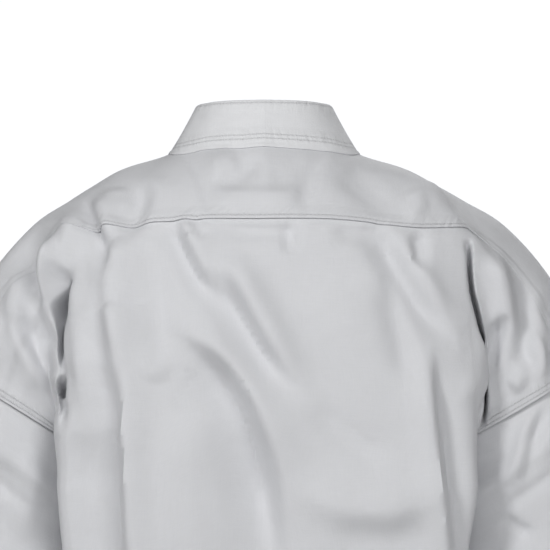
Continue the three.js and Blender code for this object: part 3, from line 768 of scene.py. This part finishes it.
def wall(name, points, outward, thickness, material, sewn, closed=False, unsewn=None):
    """A cloth wall from a grid of points on its outer face.

    The inner face lies `thickness` inside along the grid's own normals, and rims close the edges.
    A closed grid repeats its first column as its last. No stitches show where unsewn is true.
    """
    rows, cols = points.shape[:2]
    normal = surface_normals(points, closed)
    turned = (normal * outward).sum(-1).mean() < 0
    inner = points - (-normal if turned else normal) * thickness
    sewing = sewing_map(points, sewn)
    if unsewn is not None:
        sewing[unsewn, 0] = FAR_OFF
    across = lengths(points, 1)
    across = across - across[:, cols // 2 : cols // 2 + 1]
    weave = np.stack((across, lengths(points, 0), np.zeros_like(across)), -1)
    wide = cols - 1 if closed else cols
    keep = slice(0, wide)
    verts = np.concatenate([part[:, keep].reshape(-1, 3) for part in (points, inner)])
    maps = {
        "sewing": np.concatenate([sewing[:, keep].reshape(-1, 3)] * 2),
        "cloth": np.concatenate([weave[:, keep].reshape(-1, 3)] * 2),
    }
    index = np.arange(rows * wide).reshape(rows, wide)
    if closed:
        index = np.concatenate((index, index[:, :1]), axis=1)
    outer_quads = quads(index, turned)
    shift = rows * wide
    inner_quads = quads(index, not turned) + shift
    rims = [rim(index[0], shift, turned), rim(index[-1], shift, not turned)]
    if not closed:
        rims += [rim(index[:, 0], shift, not turned), rim(index[:, -1], shift, turned)]
    faces = np.concatenate([outer_quads, inner_quads, *rims])
    return add_mesh(name, verts, faces, material, maps)


def quads(index, turned):
    """Quads of a grid of vertex numbers, whose normal is across times down unless turned."""
    square = np.stack((index[:-1, :-1], index[:-1, 1:], index[1:, 1:], index[1:, :-1]), -1).reshape(-1, 4)
    return square[:, ::-1] if turned else square


def rim(line, shift, turned):
    """Quads that join a line of outer vertices to the inner ones, `shift` further on."""
    strip = np.stack((line[:-1], line[:-1] + shift, line[1:] + shift, line[1:]), -1)
    return strip[:, ::-1] if turned else strip


def half_shares(count):
    """Shares from -1 to 1 across a panel, up to 2.8 times as close where the back folds over the arms:
    1 + more * exp(-((share - at) / spread) ** 2), summed and divided evenly."""
    even = np.linspace(-1, 1, CLOSER["points"])
    dense = 1 + CLOSER["more"] * np.exp(-(((np.abs(even) - CLOSER["at"]) / CLOSER["spread"]) ** 2))
    total = np.concatenate(([0], np.cumsum((dense[1:] + dense[:-1]) / 2)))
    return np.interp(np.linspace(0, total[-1], count), total, even)


def back_surface(across, down):
    """Back panel: columns run from the yoke seam to the hem, spread out from under the neck to the
    side seams, and rows are level at the hem. Its top edge is tucked in under the yoke."""
    s = half_shares(across)[None, :]
    t = np.linspace(0, 1, down)[:, None]
    a = np.abs(s)
    start = SECTION["yoke_back"](seam_column(a, side_edge(0))) - TUCK
    q = np.where(t < BACK_ABOVE, lerp(start, 1, t / BACK_ABOVE), 1 + (t - BACK_ABOVE) / (1 - BACK_ABOVE))
    p = np.sign(s) * seam_column(a, side_edge(q))
    step = lerp(FLUSH, YOKE_LAP, lapping(s))
    under = -step * (1 - smoothstep(0, TUCK_FADE, q - start - TUCK))
    return cloth(p, q, 1, under)


def lapping(s):
    """1 where the yoke's back seam stands out, 0 towards the sleeves, where the cloth lies flat over it."""
    return np.where(s > 0, 1 - smoothstep(*LAP_ENDS["left"], s), 1 - smoothstep(*LAP_ENDS["right"], -s))


def yoke_place(s, t):
    """Section p and height g of the yoke: t 0 on the neckline or the front seam, 1 on the back seam."""
    a = np.abs(s)
    beyond = np.maximum(0, (a - YOKE_NECK) / (1 - YOKE_NECK))
    shoulder_p = lerp(NECK_AT["p"](1), side_edge(0), beyond)
    at_neck = a < YOKE_NECK
    round_neck = np.minimum(1, a / YOKE_NECK)
    upper_p = np.where(at_neck, NECK_AT["p"](round_neck), shoulder_p)
    upper_g = np.where(at_neck, NECK_AT["g"](round_neck), -SECTION["yoke_front"](upper_p) - YOKE_EDGE)
    lower_p = seam_column(a, side_edge(0))
    lower_g = SECTION["yoke_back"](lower_p) + YOKE_EDGE
    return np.sign(s) * lerp(upper_p, lower_p, t), lerp(upper_g, lower_g, t)


def yoke_surface(across, down):
    """Yoke: from the neckline or the front seam over the shoulder to the back seam. Both lower edges
    lap over the panels below, LAP_LIFT further out. Towards the sleeves the back edge thins out and has
    no stitches. Returns the points, their normals, the thickness and where the edge is plain."""
    s = half_shares(across)[None, :]
    t = np.linspace(0, 1, down)[:, None]
    p, g = yoke_place(s, t)
    front_lap = np.where(np.abs(s) < YOKE_NECK, 0, 1 - smoothstep(0, FRONT_LAP, t))
    back_lap = smoothstep(BACK_LAP, 1, t)
    lift = LAP_LIFT * (front_lap + back_lap * lapping(s))
    thick = CLOTH - (CLOTH - FLUSH / 2) * back_lap * (1 - lapping(s))
    plain_edge = back_lap * (1 - lapping(s)) > PLAIN_FROM
    return *cloth(p, np.abs(g), np.where(g < 0, -1.0, 1.0), lift), thick[..., None], plain_edge


def front_surface(side, across, down):
    """Front: from the side seam to the lapel band's sewn edge, where section_at() finds the lapel's x.
    The left one is lifted off the right one."""
    share = np.linspace(0, 1, across)[None, :]
    t = np.linspace(0, 1, down)[:, None]
    corner = NECK_AT["p"](1) + FRONT_CORNER
    start = SECTION["yoke_front"](lerp(1, corner, share)) - YOKE_EDGE
    above = FRONT_ABOVE
    q = np.where(t < above, lerp(start, 1, t / above), 1 + (t - above) / (1 - above))
    p = lerp(side_edge(q), section_at(LAPEL_AT["seam_x"](q) + LAPEL_GAP, q), share)
    lift = wrap_lift(p, q) if side > 0 else np.zeros_like(p)
    under = -YOKE_LAP * (1 - smoothstep(0, TUCK_FADE, q - start - YOKE_EDGE))
    return cloth(side * p, q, -1, lift + under)


def sleeve_place(run, turn):
    """Sleeve: an oval section about the arm's line at each distance down it, half its depth behind and
    before, tilted from level and shifted forward as the arm hangs."""
    tilt = np.radians(SLEEVE_AT["tilt"](run))
    half = SLEEVE_AT["half"](run)
    depth = np.where(np.sin(turn) > 0, SLEEVE_AT["back"](run), SLEEVE_AT["front"](run))
    across = half * np.cos(turn) - SLEEVE_AT["inward"](run)
    top = SECTIONS[-1]
    centre_x = (top["top_x"] + top["ring_x"]) / 2
    centre_z = (top["top_z"] + ARMPIT_Z) / 2
    x = centre_x + math.sin(ARM_ANGLE) * run + np.cos(tilt) * across
    y = depth * np.sin(turn) - SLEEVE_AT["forward"](run)
    z = centre_z - math.cos(ARM_ANGLE) * run + np.sin(tilt) * across
    return np.stack((x, y, z), -1)


def sleeve_surface(side, around, along):
    """Sleeve: sleeve_place() pushed out along its normal by the height of its folds. A fold's line rises
    and falls with the turn, and its height fades as exp(-(distance / width) ** 2) to all sides."""
    turn = np.linspace(0, 2 * math.pi, around)[None, :]
    run = np.linspace(SLEEVE[0]["run"], SLEEVE[-1]["run"], along)[:, None]
    turn, run = np.broadcast_arrays(turn, run)
    place = sleeve_place(run, turn)
    round_step = sleeve_place(run, turn + TURN_STEP) - sleeve_place(run, turn - TURN_STEP)
    down_step = sleeve_place(run + 1, turn) - sleeve_place(run - 1, turn)
    normal = -unit(np.cross(round_step, down_step))
    height = np.zeros_like(run)
    for fold in SLEEVE_FOLDS:
        middle = math.radians(fold["turn"])
        round_arm = (np.mod(turn - middle + math.pi, 2 * math.pi) - math.pi) * ARM_ROUND
        off = run - fold["run"] - fold["slope"] * round_arm
        width = np.where(off < 0, fold["above"], fold["below"])
        height += fold["height"] * np.exp(-((off / width) ** 2) - (round_arm / fold["reach"]) ** 2)
    wave = np.sin(run / 13 + 2 * np.sin(turn + 0.8)) * np.sin(2 * turn + run / 37 + side)
    height = (height + ARM_SLACK * wave) * smoothstep(*SLEEVE_STARTS["round"], run)
    lengthwise = fold_height(LONG_SLEEVE_FOLDS, side * place[..., 0], place[..., 2])
    behind = smoothstep(*SLEEVE_STARTS["behind"], np.sin(turn))
    height = height + lengthwise * behind * smoothstep(*SLEEVE_STARTS["long"], run)
    place = place + normal * height[..., None]
    flip = np.array((side, 1, 1))
    return place * flip, normal * flip


def band_place(s, r, side):
    """Lapel band at share s of its half run (0 centre back, 1 hem) and r of its width (0 sewn, 1 free).

    Round the neck it stands between the neckline and the curve of its free edge. On the chest it lies
    between seam_x and free_x on the front. Over LAY_DOWN the one turns into the other. Where r is
    below 0 it is the foot, which lies on the yoke or the front.
    """
    on_chest = np.clip((s - NECK_PART) / (1 - NECK_PART), 0, 1)
    q = lerp(LAPEL[0]["q"], 2, on_chest**CHEST_ROWS)
    at = np.clip(s / NECK_PART, 0, 1)
    g = NECK_AT["g"](at)
    neck_sewn = body(NECK_AT["p"](at), np.abs(g), np.where(g < 0, -1.0, 1.0))
    neck_free = np.stack([NECK_AT["free_" + axis](at) for axis in "xyz"], -1)
    at_neck = (s <= NECK_PART)[..., None]

    def lifted(x, eased=0.0):
        p = section_at(x, q)
        lift = wrap_lift(p, q) if side > 0 else np.zeros_like(p)
        lift = lift - eased * (lift / WRAP_LIFT) ** 2
        return cloth(side * p, q, -1, lift)[0] * np.array((side, 1, 1))

    seam_x = LAPEL_AT["seam_x"](q) - LAPEL_GAP
    lying = lifted(lerp(seam_x, LAPEL_AT["free_x"](q), r), EDGE_EASE * smoothstep(EASE_FROM, 1, r))
    laid = smoothstep(0, LAY_DOWN, s - NECK_PART)[..., None]
    fall = np.array(NECK_FALL) * HALF_BAND * np.maximum(0, s - NECK_PART)[..., None]
    sewn = np.where(at_neck, neck_sewn, lifted(seam_x))
    free = neck_free + fall
    rise = free - sewn
    clear = STANDING_LIFT * (1 - laid) / np.linalg.norm(rise, axis=-1, keepdims=True)
    upright = sewn + rise * lerp(clear, 1, np.maximum(0, r)[..., None])
    place = np.where(at_neck, upright, lerp(upright, lying, laid))
    foot_p, foot_g = yoke_place(at * YOKE_NECK * INSIDE_NECK, -r * FOOT_SHARE)
    yoke_foot = cloth(side * foot_p, np.abs(foot_g), np.where(foot_g < 0, -1.0, 1.0), FOOT_LIFT)[0]
    foot = np.where(at_neck, yoke_foot * np.array((side, 1, 1)), lying)
    return np.where((r < 0)[..., None], foot, place) * np.array((side, 1, 1))


def band_surface(across, along):
    """Lapel band: band_place() for both halves, from the right hem round the neck to the left hem, and
    its thickness, which falls to its free edge as a quarter circle."""
    foot_r = np.array((-FOOT, -FOOT / 2, -FOOT / 6))
    flat_r = np.linspace(0, 1 - ROUNDED, across)[:-1]
    round_r = 1 - ROUNDED * (1 - np.sin(np.linspace(0, math.pi / 2, ROUND_POINTS)))
    r = np.concatenate((foot_r, flat_r, round_r))[None, :]
    half = np.concatenate((np.linspace(0, NECK_PART, along // 4), np.linspace(NECK_PART, 1, along)[1:]))
    sides = []
    for side, shares in ((-1, half[::-1]), (1, half[1:])):
        s, rr = np.broadcast_arrays(shares[:, None], r)
        sides.append(band_place(s, rr, side))
    past = np.clip((r - (1 - ROUNDED)) / ROUNDED, 0, 1)
    foot = 1 - FOOT_THIN * smoothstep(0, FOOT, -r)
    thick = BAND * foot * np.sqrt(np.maximum(0.01, 1 - past**2))
    return np.concatenate(sides, axis=0), thick[..., None]


def tape_surface(at, slant, gathered, along):
    """Flat tape on the front: its middle line runs at lift outside the body, and its width stands
    upright, turned by slant degrees. At the knot it shrinks to the gathered width and cups as the square
    of the distance from its middle."""
    t = np.linspace(0, 1, along)
    p, q, lift = at(t)
    place, normal = cloth(p, q, -1, lift)
    up = np.array((0, 0, 1.0))
    upright = unit(up - normal * (normal @ up)[:, None])
    turned = np.radians(slant(t))[:, None]
    widthwise = upright * np.cos(turned) + np.cross(normal, upright) * np.sin(turned)
    wide = lerp(TAPE["width"], TAPE["gathered"], gathered(t))[:, None, None]
    share = (np.linspace(0, 1, TAPE_COLUMNS) - 0.5)[None, :, None]
    cup = (TAPE_CUP * gathered(t))[:, None, None] * (4 * share * share)
    points = place[:, None] + widthwise[:, None] * share * wide + normal[:, None] * (TAPE["wall"] - cup)
    return points, np.broadcast_to(normal[:, None], points.shape)


FRONT_TOP_Z = float(SECTION["ring_z"](abs(KNOT["p"])))
TAPE_Q = 1 + (TAPE["height"] - FRONT_TOP_Z) / (HEM_Z - FRONT_TOP_Z)


def lead_surface(lead):
    """Lead of a tie across the front to the knot, level with it."""

    def at(t):
        p = lerp(lead["p1"], lead["p2"], t)
        return p, np.full_like(t, TAPE_Q), lerp(lead["lift1"], lead["lift2"], t)

    return tape_surface(at, lambda t: 0 * t, lambda t: smoothstep(LEAD_GATHERS, 1, t), LEAD_ROWS)


def tail_surface(tail):
    """Hanging end of a tie, from under the knot, with a slow swing to one side."""
    start = TAPE_Q + (KNOT["height"] / 2 + TAPE["below"]) / (FRONT_TOP_Z - HEM_Z)

    def at(t):
        lift = lerp(KNOT["depth"] * TAIL["tucked"], TAPE["stand_off"], smoothstep(0, TAIL["out"], t))
        swing = TAIL["swing"] * np.sin(t * TAIL["waves"] + tail["p"] * TAIL["phase"]) * t
        return tail["p"] + tail["lean"] * t + swing, start + tail["length"] * t, lift

    def slant(t):
        return 90 - tail["lean"] * TAIL["slant"] + 0 * t

    def gathered(t):
        return 1 - smoothstep(0, TAIL["opens"], t)

    return tape_surface(at, slant, gathered, TAIL_ROWS)


def tube(path, wide, thick, name, material, around=20):
    """A closed flat tube along a closed path: an oval `wide` across and `thick` through at each point,
    with its width laid along the path's binormal."""
    ahead = np.roll(path, -1, axis=0) - np.roll(path, 1, axis=0)
    along = unit(ahead)
    middle = path.mean(axis=0)
    outward = unit(path - middle)
    binormal = unit(np.cross(along, outward))
    outward = np.cross(binormal, along)
    angle = np.linspace(0, 2 * math.pi, around, endpoint=False)
    round_x = (np.cos(angle) * wide / 2)[None, :, None]
    round_y = (np.sin(angle) * thick / 2)[None, :, None]
    points = path[:, None] + binormal[:, None] * round_x + outward[:, None] * round_y
    rows = len(path)
    index = np.arange(rows * around).reshape(rows, around)
    index = np.concatenate((index, index[:, :1]), axis=1)
    index = np.concatenate((index, index[:1]), axis=0)
    faces = quads(index, True)
    flat = points.reshape(-1, 3)
    run = np.repeat(np.arange(rows) / rows * KNOT_TAPE["run"], around)
    side = np.tile(angle * wide / 4, rows)
    zero = np.zeros_like(run)
    maps = {
        "sewing": np.stack((zero + FAR_OFF, run, zero), -1),
        "cloth": np.stack((side, run, zero), -1),
    }
    return add_mesh(name, flat, faces, material, maps)


def knot_path(centre, normal):
    """Path of the knot: a trefoil, x = sin t + 2 sin 2t, y = cos t - 2 cos 2t, z = -sin 3t, scaled to the
    knot's width, height and depth less the tape's own."""
    t = np.linspace(0, 2 * math.pi, KNOT_POINTS, endpoint=False)
    x = np.sin(t) + 2 * np.sin(2 * t)
    y = np.cos(t) - 2 * np.cos(2 * t)
    z = -np.sin(3 * t)
    up = np.array((0, 0, 1.0))
    upright = unit((up - normal * (normal @ up))[None])[0]
    level = np.cross(upright, normal)
    wide, high, deep = ((KNOT[key] - KNOT_ROOM[key]) / TREFOIL[key] for key in TREFOIL)
    return centre + np.outer(x * wide, level) + np.outer(y * high, upright) + np.outer(z * deep, normal)


class Shader:
    """A short way to write a node tree: add() returns the new node, and the calls after it its output."""

    def __init__(self, name):
        self.material = bpy.data.materials.new(name)
        self.material.use_nodes = True
        self.nodes = self.material.node_tree.nodes
        self.links = self.material.node_tree.links
        self.surface = self.nodes["Principled BSDF"]

    def add(self, kind, settings=None, inputs=None):
        node = self.nodes.new(kind)
        for key, value in (settings or {}).items():
            setattr(node, key, value)
        for key, value in (inputs or {}).items():
            self.put(node.inputs[key], value)
        return node

    def put(self, socket, value):
        if isinstance(value, bpy.types.NodeSocket):
            self.links.new(value, socket)
        else:
            socket.default_value = value

    def math(self, operation, first, second=0.0):
        return self.add("ShaderNodeMath", {"operation": operation}, {0: first, 1: second}).outputs[0]

    def ramp(self, value, low, high):
        """0 below low, 1 above high, smooth between."""
        node = self.add("ShaderNodeMapRange", {"interpolation_type": "SMOOTHSTEP"})
        self.put(node.inputs["Value"], value)
        self.put(node.inputs["From Min"], low)
        self.put(node.inputs["From Max"], high)
        return node.outputs["Result"]

    def noise(self, place, scale, detail=2.0):
        inputs = {"Vector": place, "Scale": scale, "Detail": detail}
        return self.add("ShaderNodeTexNoise", None, inputs).outputs["Fac"]


def cotton(name, colour, thread, crinkle):
    """Woven cotton: crossed threads and slubs in the bump, faint unevenness of colour and roughness,
    and rows of stitches where the sewing attribute says that a seam runs, with painted shade along their
    grooves and between their stitches.

    sewing holds the distance to the row, the run along it and half the distance between two rows."""
    shader = Shader(name)
    cloth_uv = shader.add("ShaderNodeUVMap", {"uv_map": "Cloth"}).outputs["UV"]
    parts = shader.add("ShaderNodeSeparateXYZ", None, {"Vector": cloth_uv}).outputs
    turn = 2 * math.pi / thread
    warp = shader.math("SINE", shader.math("MULTIPLY", parts["X"], turn))
    weft = shader.math("SINE", shader.math("MULTIPLY", parts["Y"], turn))
    weave = shader.math("MULTIPLY", warp, weft)

    def stretched(x, y):
        return shader.add(
            "ShaderNodeVectorMath", {"operation": "MULTIPLY"}, {0: cloth_uv, 1: (x, y, 1)}
        ).outputs["Vector"]

    slub_x = shader.noise(stretched(60, 900), 1.0)
    slub_y = shader.noise(stretched(900, 60), 1.0)
    slubs = shader.math("ADD", slub_x, slub_y)
    place = shader.add("ShaderNodeTexCoord").outputs["Object"]
    soft = shader.noise(place, 22.0, 3.0)
    fine = shader.noise(place, 75.0, 3.0)

    sewing = shader.add("ShaderNodeAttribute", {"attribute_name": "sewing"}).outputs["Vector"]
    row = shader.add("ShaderNodeSeparateXYZ", None, {"Vector": sewing}).outputs
    off_rows = shader.math("ABSOLUTE", shader.math("SUBTRACT", shader.math("ABSOLUTE", row["X"]), row["Z"]))
    on_row = shader.math("SUBTRACT", 1.0, shader.ramp(off_rows, *STITCH["thread"]))
    beat = shader.math("SINE", shader.math("MULTIPLY", row["Y"], 2 * math.pi / STITCH["length"]))
    thread_up = shader.ramp(beat, *STITCH["rise"])
    stitch = shader.math("MULTIPLY", on_row, thread_up)
    groove = shader.math("SUBTRACT", 1.0, shader.ramp(off_rows, *STITCH["groove"]))
    near = shader.math("SUBTRACT", 1.0, shader.ramp(shader.math("ABSOLUTE", row["X"]), *STITCH["pucker"]))
    along_row = shader.add("ShaderNodeCombineXYZ", None, {"X": row["Y"], "Y": row["X"]}).outputs["Vector"]
    pucker_place = shader.add(
        "ShaderNodeVectorMath", {"operation": "MULTIPLY"}, {0: along_row, 1: (150, 30, 1)}
    ).outputs["Vector"]
    pucker = shader.math("MULTIPLY", shader.noise(pucker_place, 1.0), near)

    # height, strength and depth in metres of each layer of relief, each laid over the one before
    layers = (
        (soft, crinkle, 0.004),
        (fine, crinkle, 0.0012),
        (pucker, 0.8, 0.0022),
        (slubs, 0.5, 0.0002),
        (weave, 0.5, 0.00012),
        (groove, 0.35, -0.0003),
        (stitch, 0.9, 0.0006),
    )
    relief = {}
    for height, strength, depth in layers:
        inputs = {"Height": height, "Strength": strength, "Distance": depth, **relief}
        relief = {"Normal": shader.add("ShaderNodeBump", None, inputs).outputs["Normal"]}

    def swayed(value, source, middle, share):
        """value, more or less by a share of how far source lies from its middle."""
        off = shader.math("SUBTRACT", source, middle)
        return shader.math("ADD", value, shader.math("MULTIPLY", off, share))

    value = swayed(0.97, soft, 0.5, 0.05)
    value = swayed(value, slubs, 1.0, 0.05)
    # painted shade: the colour is a little darker along the groove of each row of sewing
    value = shader.math("SUBTRACT", value, shader.math("MULTIPLY", groove, 0.025))
    # painted shade: darker on the row between the stitches, where the thread dives into the cloth
    value = swayed(value, on_row, stitch, -0.09)
    tint = shader.add(
        "ShaderNodeVectorMath", {"operation": "SCALE"}, {0: tuple(colour), "Scale": value}
    ).outputs["Vector"]
    shader.put(shader.surface.inputs["Base Color"], tint)
    shader.put(shader.surface.inputs["Roughness"], swayed(0.86, fine, 0.5, 0.12))
    shader.put(shader.surface.inputs["Normal"], relief["Normal"])
    shader.surface.inputs["Specular IOR Level"].default_value = 0.25
    shader.surface.inputs["Sheen Weight"].default_value = 0.15
    shader.surface.inputs["Sheen Roughness"].default_value = 0.5
    return shader.material


def plain(name, colour, roughness):
    """A plain finish whose roughness varies a little."""
    shader = Shader(name)
    place = shader.add("ShaderNodeTexCoord").outputs["Object"]
    grain = shader.noise(place, 6.0, 3.0)
    uneven = shader.math("MULTIPLY", shader.math("SUBTRACT", grain, 0.5), 0.05)
    rough = shader.math("ADD", roughness, uneven)
    shader.surface.inputs["Base Color"].default_value = (*colour, 1.0)
    shader.put(shader.surface.inputs["Roughness"], rough)
    return shader.material


class GiCloth(bpy.types.PropertyGroup):
    """Cloth of the jacket."""

    cotton: bpy.props.FloatVectorProperty(
        name="Cotton", description="Colour of the panels and sleeves", subtype="COLOR",
        size=3, min=0, max=1, default=(0.745, 0.75, 0.77),
    )
    # The band's colour is lighter than the panels' cotton. The extra lightness is painted light that
    # brightens the standing collar.
    band: bpy.props.FloatVectorProperty(
        name="Band", description="Colour of the lapel band", subtype="COLOR",
        size=3, min=0, max=1, default=(0.83, 0.835, 0.85),
    )
    thread: bpy.props.FloatProperty(
        name="Thread", description="Distance between two threads of the weave", unit="LENGTH",
        default=0.0009, min=0.0002, max=0.004,
    )
    crinkle: bpy.props.FloatProperty(
        name="Crinkle", description="Strength of the small unevenness of the cloth",
        default=0.35, min=0, max=1,
    )
    detail: bpy.props.FloatProperty(
        name="Detail", description="Fineness of the grids", default=1.0, min=0.2, max=1.5,
    )


class GiStage(bpy.types.PropertyGroup):
    """Light and camera."""

    floor_z: bpy.props.FloatProperty(
        name="Floor", description="Height of the floor", unit="LENGTH", default=-0.83,
    )
    key: bpy.props.FloatProperty(
        name="Key", description="Power of the main light", default=34.0, min=0,
    )
    fill: bpy.props.FloatProperty(
        name="Fill", description="Strength of the light from all round", default=0.12, min=0,
    )
    lens: bpy.props.FloatProperty(
        name="Lens", description="Focal length of the camera in millimetres", default=300.0, min=20,
    )
    distance: bpy.props.FloatProperty(
        name="Distance", description="How far behind the jacket the camera stands",
        unit="LENGTH", default=4.0,
    )


def grid_of(part):
    detail = bpy.context.scene.gi_cloth.detail * 1
    return [max(8, round(number * detail)) for number in GRIDS[part]]


def cloth_material(kind):
    """The material of a kind of cloth, made once."""
    cloth_settings = bpy.context.scene.gi_cloth
    found = bpy.data.materials.get(kind)
    if found:
        return found
    # the band's lighter colour is painted light on the collar
    colour = cloth_settings.band if kind == "gi_band" else cloth_settings.cotton
    return cotton(kind, colour, cloth_settings.thread, cloth_settings.crinkle)


def finish(piece, node):
    """Puts a piece in the frame in its solid's place."""
    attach(piece, "root")
    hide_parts(node)


def finish_sheet(piece, node):
    """Finishes a cloth piece: puts it in the frame in its solid's place."""
    finish(piece, node)


class GI_OT_panels(bpy.types.Operator):
    """Make the back panel, the yoke and the two fronts."""

    bl_idname = "gi.panels"
    bl_label = "Panels"

    def execute(self, context):
        white = cloth_material("gi_cotton")
        seam = (SEAM_INSET, SEAM_ROWS)
        hem = (HEM_WIDTH, 0)

        points, normal = back_surface(*grid_of("back"))
        sewn = {"bottom": hem, "start": seam, "end": seam}
        piece = wall("Back", points, normal, CLOTH, white, sewn)
        finish_sheet(piece, "back_panel")

        points, normal, thick, plain_edge = yoke_surface(*grid_of("yoke"))
        sewn = {"bottom": (CROSS_SEAM, 0), "start": seam, "end": seam}
        piece = wall("Yoke", points, normal, thick, white, sewn, unsewn=plain_edge)
        finish_sheet(piece, "shoulder_yoke")

        for side, name, node in ((1, "FrontLeft", "front_left"), (-1, "FrontRight", "front_right")):
            points, normal = front_surface(side, *grid_of("front"))
            piece = wall(name, points, normal, CLOTH, white, {"bottom": hem, "start": seam})
            finish_sheet(piece, node)
        return {"FINISHED"}


class GI_OT_sleeves(bpy.types.Operator):
    """Make the two sleeves."""

    bl_idname = "gi.sleeves"
    bl_label = "Sleeves"

    def execute(self, context):
        white = cloth_material("gi_cotton")
        for side, name, node in ((1, "SleeveLeft", "sleeve_left"), (-1, "SleeveRight", "sleeve_right")):
            points, normal = sleeve_surface(side, *grid_of("sleeve"))
            piece = wall(name, points, normal, CLOTH, white, {"bottom": (HEM_WIDTH, 0)}, closed=True)
            finish_sheet(piece, node)
        return {"FINISHED"}


class GI_OT_band(bpy.types.Operator):
    """Make the lapel band, a folded strip from hem to hem round the neck."""

    bl_idname = "gi.band"
    bl_label = "Lapel band"

    def execute(self, context):
        points, thick = band_surface(*grid_of("band"))
        normal = unit(np.cross(np.gradient(points, axis=0), np.gradient(points, axis=1)))
        neck_row = points.shape[0] // 2
        if normal[neck_row, 0, 1] < 0:
            normal = -normal
        points = points + normal * thick / 2
        piece = wall("Band", points, normal, thick, cloth_material("gi_band"), BAND_SEWN)
        finish_sheet(piece, "lapel_band")
        return {"FINISHED"}


class GI_OT_ties(bpy.types.Operator):
    """Make the outer ties: two leads, the knot and two hanging ends."""

    bl_idname = "gi.ties"
    bl_label = "Ties"

    def execute(self, context):
        tape = cloth_material("gi_tape")
        for key, name in (("over", "Over"), ("side", "Side")):
            for kind, surface in (("lead", lead_surface(LEADS[key])), ("end", tail_surface(TAILS[key]))):
                points, normal = surface
                piece = wall("Tie" + kind.title() + name, points, normal, TAPE["wall"], tape, TAPE_SEWN)
                finish_sheet(piece, "tie_" + kind + "_" + key)
        lift = KNOT["stand_off"] + KNOT["depth"] / 2
        centre, normal = cloth(np.array([KNOT["p"]]), np.array([TAPE_Q]), -1, lift)
        path = knot_path(centre[0], normal[0])
        knot = tube(path, KNOT_TAPE["wide"], KNOT_TAPE["thick"], "TieKnot", tape)
        finish(knot, "tie_knot")
        return {"FINISHED"}


def area_light(name, place, aim, power, size, context):
    """A square area light at place, turned to aim."""
    data = bpy.data.lights.new(name, "AREA")
    data.energy = power
    data.size = size
    light = bpy.data.objects.new(name, data)
    light.location = place
    light.rotation_euler = (Vector(aim) - Vector(place)).to_track_quat("-Z", "Y").to_euler()
    context.scene.collection.objects.link(light)


class GI_OT_stage(bpy.types.Operator):
    """Set the camera, the lights, the white surroundings and the floor."""

    bl_idname = "gi.stage"
    bl_label = "Stage"

    def execute(self, context):
        settings = context.scene.gi_stage
        data = bpy.data.cameras.new("Camera")
        data.lens = settings.lens
        data.sensor_width = CAMERA["sensor"]
        data.clip_end = CAMERA["far"]
        camera = bpy.data.objects.new("Camera", data)
        camera.location = (CAMERA["x"], settings.distance, CAMERA["z"])
        camera.rotation_euler = (math.radians(90), 0, math.radians(180))
        context.scene.collection.objects.link(camera)
        context.scene.camera = camera

        for light in LIGHTS:
            place = (light["x"], light["y"], light["z"])
            area_light(light["name"], place, LIGHT_AIM, settings.key * light["power"], light["size"], context)

        world = bpy.data.worlds.new("World")
        world.use_nodes = True
        nodes = world.node_tree.nodes
        links = world.node_tree.links
        background = nodes["Background"]
        background.inputs["Color"].default_value = SKY
        path = nodes.new("ShaderNodeLightPath")
        blend = nodes.new("ShaderNodeMapRange")
        links.new(path.outputs["Is Camera Ray"], blend.inputs["Value"])
        blend.inputs["To Min"].default_value = settings.fill
        blend.inputs["To Max"].default_value = SKY_SEEN
        links.new(blend.outputs["Result"], background.inputs["Strength"])
        context.scene.world = world
        context.scene.view_settings.view_transform = "Standard"

        mesh = bpy.data.meshes.new("Floor")
        round_floor = ((-1, -1), (1, -1), (1, 1), (-1, 1))
        corners = [(x * FLOOR_SIZE, y * FLOOR_SIZE, settings.floor_z) for x, y in round_floor]
        mesh.from_pydata(corners, [], [(0, 1, 2, 3)])
        mesh.materials.append(plain("floor_white", FLOOR_WHITE, 0.8))
        floor = bpy.data.objects.new("Floor", mesh)
        context.scene.collection.objects.link(floor)
        return {"FINISHED"}


class GI_PT_sidebar(bpy.types.Panel):
    """Lists the steps that make the jacket."""

    bl_label = "Karate Gi"
    bl_idname = "GI_PT_sidebar"
    bl_space_type = "VIEW_3D"
    bl_region_type = "UI"
    bl_category = "Gi"

    def draw(self, context):
        for step in STEPS:
            self.layout.operator(step.bl_idname)
        for name in ("cotton", "band", "thread", "crinkle", "detail"):
            self.layout.prop(context.scene.gi_cloth, name)


STEPS = (GI_OT_panels, GI_OT_sleeves, GI_OT_band, GI_OT_ties, GI_OT_stage)
GROUPS = (GiCloth, GiStage)


def register():
    """Registers the classes and gives each scene its settings."""
    for item in (*GROUPS, *STEPS, GI_PT_sidebar):
        bpy.utils.register_class(item)
    bpy.types.Scene.gi_cloth = bpy.props.PointerProperty(type=GiCloth)
    bpy.types.Scene.gi_stage = bpy.props.PointerProperty(type=GiStage)


def unregister():
    """Takes away what register() added."""
    del bpy.types.Scene.gi_stage
    del bpy.types.Scene.gi_cloth
    for item in reversed((*GROUPS, *STEPS, GI_PT_sidebar)):
        bpy.utils.unregister_class(item)


def main():
    """Makes the jacket with its stage."""
    register()
    bpy.ops.gi.panels()
    bpy.ops.gi.sleeves()
    bpy.ops.gi.band()
    bpy.ops.gi.ties()
    bpy.ops.gi.stage()


if __name__ == "__main__":
    main()
